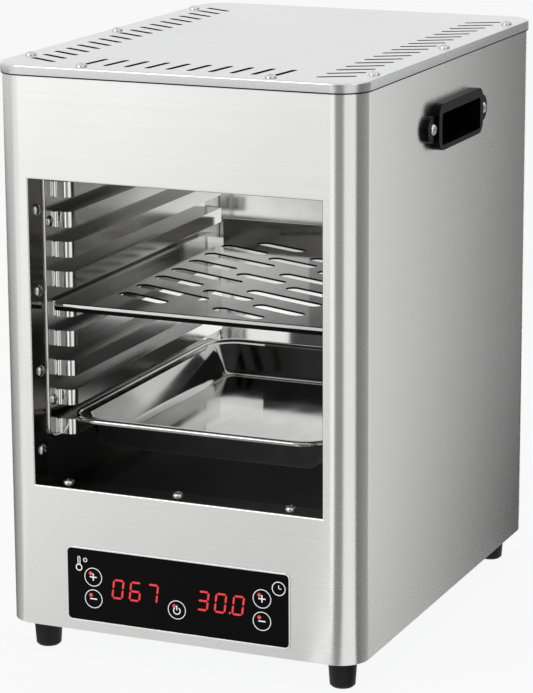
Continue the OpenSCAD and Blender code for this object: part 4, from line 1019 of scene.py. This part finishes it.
for name, node, side in (("right_ledges", "right_runner", 1), ("left_ledges", "left_runner", -1)):
    bm = opened(panel.data)
    for vert in bm.verts:
        vert.co.x *= side
    mesh = finished(bm, name)
    shade(mesh)
    obj = piece(name, mesh, satin_sheet, "cabinet", "polished_steel", node)
    rounded_edges(obj, 0.7, 3)
    # the tops get the dark sheet as painted shade, the noses and the rolled edge the glossier
    # mirror sheet
    repaint(obj, painted_shade_sheet, lambda at, normal: proud(at) and normal.z > 0.8)
    repaint(obj, mirror_sheet, lambda at, normal: proud(at) and abs(normal.z) < 0.7
            and (at.y < y0 + NOSE + 0.5 or at.z < z_min + 2.7))
    print(name, LEDGES, "ledges,", len(obj.data.polygons), "faces")
for obj in (ledge, panel):
    bpy.data.objects.remove(obj)

# %% [markdown]
# ## Figures and keys on the glass
# Two red displays shine through the glass, and five touch keys are printed on it as thin
# rings with a sign in each. They are flat shapes a few hundredths of a millimetre in front
# of the glass, as a print is.

# %% Inks and light
def flat_light(name, dark, light, strength):
    """A colour that glows a little, cloudy at the scale of a few millimetres."""
    mat, tree, shader, place = new_material(name)
    cloud = add(tree, "ShaderNodeTexNoise", {"Vector": place, "Scale": 420.0, "Detail": 2.0})
    tone = two_tones(tree, cloud.outputs["Fac"], dark, light)
    tree.links.new(tone, shader.inputs["Base Color"])
    tree.links.new(tone, shader.inputs["Emission Color"])
    shader.inputs["Emission Strength"].default_value = strength
    shader.inputs["Roughness"].default_value = 0.4
    return mat


# Display segments: red light-emitting diodes behind tinted glass, brighter in their middles.
red_segments = flat_light("red diode segments", "B0141F", "EA3C42", 0.80)
# Key rings and signs: pale grey glass ink; its glow is painted light, as the ink is no lamp.
grey_ink = flat_light("pale grey glass ink", "D8D8D8", "F2F2F2", 0.50)
# A small red spot at the upper left of each key ring glows as a painted highlight.
red_key_highlight = flat_light("red painted key highlight", "A8202A", "DC6468", 0.7)

# %% Flat shapes on the glass
glass_low, glass_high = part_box("control_glass")
INK_Y = (glass_low.y / MM - 0.04) * MM
GLASS_Z = (glass_low.z + glass_high.z) / 2 / MM


def flat(bm, points):
    """A filled flat shape on the glass, from points (x, z) in millimetres from its middle."""
    bm.faces.new([bm.verts.new((x * MM, INK_Y, (GLASS_Z + z) * MM)) for x, z in points])


def flat_box(bm, x0, x1, z0, z1):
    """A filled rectangle on the glass."""
    flat(bm, [(x0, z0), (x1, z0), (x1, z1), (x0, z1)])


def flat_ring(bm, cx, cz, radius, line, start=0.0, stop=360.0, steps=40):
    """Part of a ring on the glass, as a strip of small quads."""
    turns = [math.radians(start + (stop - start) * k / steps) for k in range(steps + 1)]
    near, far = radius - line / 2, radius + line / 2
    for a, b in zip(turns, turns[1:]):
        flat(bm, [(cx + r * math.cos(t), cz + r * math.sin(t))
                  for r, t in ((near, a), (far, a), (far, b), (near, b))])


def on_glass(bm, name, material):
    """Turns a bmesh of flat shapes into a piece that faces the front."""
    for face in bm.faces:
        face.normal_update()
        if face.normal.y > 0:
            face.normal_flip()
    mesh = closed(bm, bpy.data.meshes.new(name))
    return piece(name, mesh, material, "cabinet", "panel_glass")


# %% Seven-segment figures
CELL_W, CELL_H, STROKE, LEAN, STEP = 7.4, 13.2, 1.45, math.radians(7), 13.3
END_GAP, BASE = 0.35, -6.9
POINT_SHIFT, POINT_HALF, POINT_Z = 1.2, 0.7, -7.2  # the second display's decimal point
SEGMENTS = {  # name: its two ends as shares of the cell
    "a": ((0, 1), (1, 1)), "b": ((1, 1), (1, 0.5)), "c": ((1, 0.5), (1, 0)),
    "d": ((0, 0), (1, 0)), "e": ((0, 0.5), (0, 0)), "f": ((0, 1), (0, 0.5)),
    "g": ((0, 0.5), (1, 0.5)),
}
FIGURES = {"0": "abcdef", "3": "abcdg", "6": "acdefg", "7": "abc"}


def figure(bm, sign, x, z):
    """One figure with its lower left corner at (x, z) from the middle of the glass."""
    for name in FIGURES[sign]:
        start, end = (Vector((u * CELL_W, v * CELL_H)) for u, v in SEGMENTS[name])
        along = (end - start).normalized()
        across = Vector((-along.y, along.x)) * STROKE / 2
        start, end = start + along * END_GAP, end - along * END_GAP
        taper = along * STROKE / 2
        points = [start, start + taper + across, end - taper + across, end,
                  end - taper - across, start + taper - across]
        flat(bm, [(x + p.x + math.tan(LEAN) * p.y, z + p.y) for p in points])


bm = bmesh.new()
for text, left in (("067", -50.4), ("300", 14.9)):
    for k, sign in enumerate(text):
        figure(bm, sign, left + 0.6 + k * STEP, BASE)
point_x = left + 2 * STEP - POINT_SHIFT
flat_box(bm, point_x - POINT_HALF, point_x + POINT_HALF, POINT_Z, POINT_Z + 2 * POINT_HALF)
digits = on_glass(bm, "display_figures", red_segments)
print("figures", len(digits.data.polygons), "segments")

# %% Touch keys
KEYS = [(-64.5, 6.3, "+"), (-64.5, -9.7, "-"), (64.5, 6.9, "+"), (64.4, -9.3, "-"),
        (0, -9.5, "power")]
KEY_R, KEY_LINE, SIGN_R, SIGN_HALF = 6.6, 0.55, 2.7, 0.45

bm, glow = bmesh.new(), bmesh.new()
for x, z, sign in KEYS:
    flat_ring(bm, x, z, KEY_R, KEY_LINE)
    # a small red painted highlight at the upper left of each key ring
    flat_ring(glow, x - 2.0, z + 2.6, 0.7, 1.4, steps=16)
    if sign == "power":
        flat_ring(bm, x, z - 0.6, 2.5, 0.8, 125, 415)
        flat_box(bm, x - 0.4, x + 0.4, z - 0.2, z + 3.2)
        continue
    flat_box(bm, x - SIGN_R, x + SIGN_R, z - SIGN_HALF, z + SIGN_HALF)
    if sign == "+":
        flat_box(bm, x - SIGN_HALF, x + SIGN_HALF, z + SIGN_HALF, z + SIGN_R)
        flat_box(bm, x - SIGN_HALF, x + SIGN_HALF, z - SIGN_R, z - SIGN_HALF)
# a small clock at the upper right
flat_ring(bm, 77, 15.7, 4.8, 0.6)
flat_box(bm, 76.7, 77.3, 15.7, 18.2)
flat_box(bm, 77.3, 79, 15.4, 16)
# a thermometer and its degree ring at the upper left
flat_ring(bm, -75.5, 12.3, 2.2, 0.8)
flat_box(bm, -76.6, -76.0, 14.6, 19.4)
flat_box(bm, -75.0, -74.4, 14.6, 19.4)
flat_ring(bm, -75.5, 19.4, 0.8, 0.6, 0, 180, 12)
flat_ring(bm, -70.6, 18.2, 1.3, 0.6)
# the key prints glow as painted light
keys = on_glass(bm, "key_prints", grey_ink)
on_glass(glow, "key_lights", red_key_highlight)
print("keys", len(KEYS), "rings,", len(keys.data.polygons), "faces")

# %% [markdown]
# ## The rest of the CAD nodes
# The inner pieces keep their CAD shapes. Each gets the finish of what it is.

# %% Inner pieces
INNER = {
    satin_sheet: ("chamber_back",),
    mirror_sheet: ("reflector",),
    lining_sheet: ("chamber_shell",),
    zinc_sheet: ("chamber_legs", "element_flanges", "element_clips"),
    oxidised_tube: ("heating_elements",),
    bright_screw: ("temperature_probe",),
    porcelain: ("element_terminals", "terminal_block"),
    ceramic_wool: ("roof_insulation", "side_insulation", "back_insulation"),
    black_moulding: ("thermal_cutout", "display_housing", "temperature_display", "timer_display",
                     "buzzer", "board_standoffs"),
    solder_mask: ("display_board", "power_board"),
    spring_brass: ("touch_springs",),
    blue_case: ("relay",),
    amber_tape: ("transformer",),
}
for material, names in INNER.items():
    for name in names:
        mesh = cad_nodes[name].data
        mesh.materials.clear()
        mesh.materials.append(material)
print(sum(len(names) for names in INNER.values()), "CAD nodes dressed")

# %% Finish
bpy.context.scene.view_settings.view_transform = "Standard"
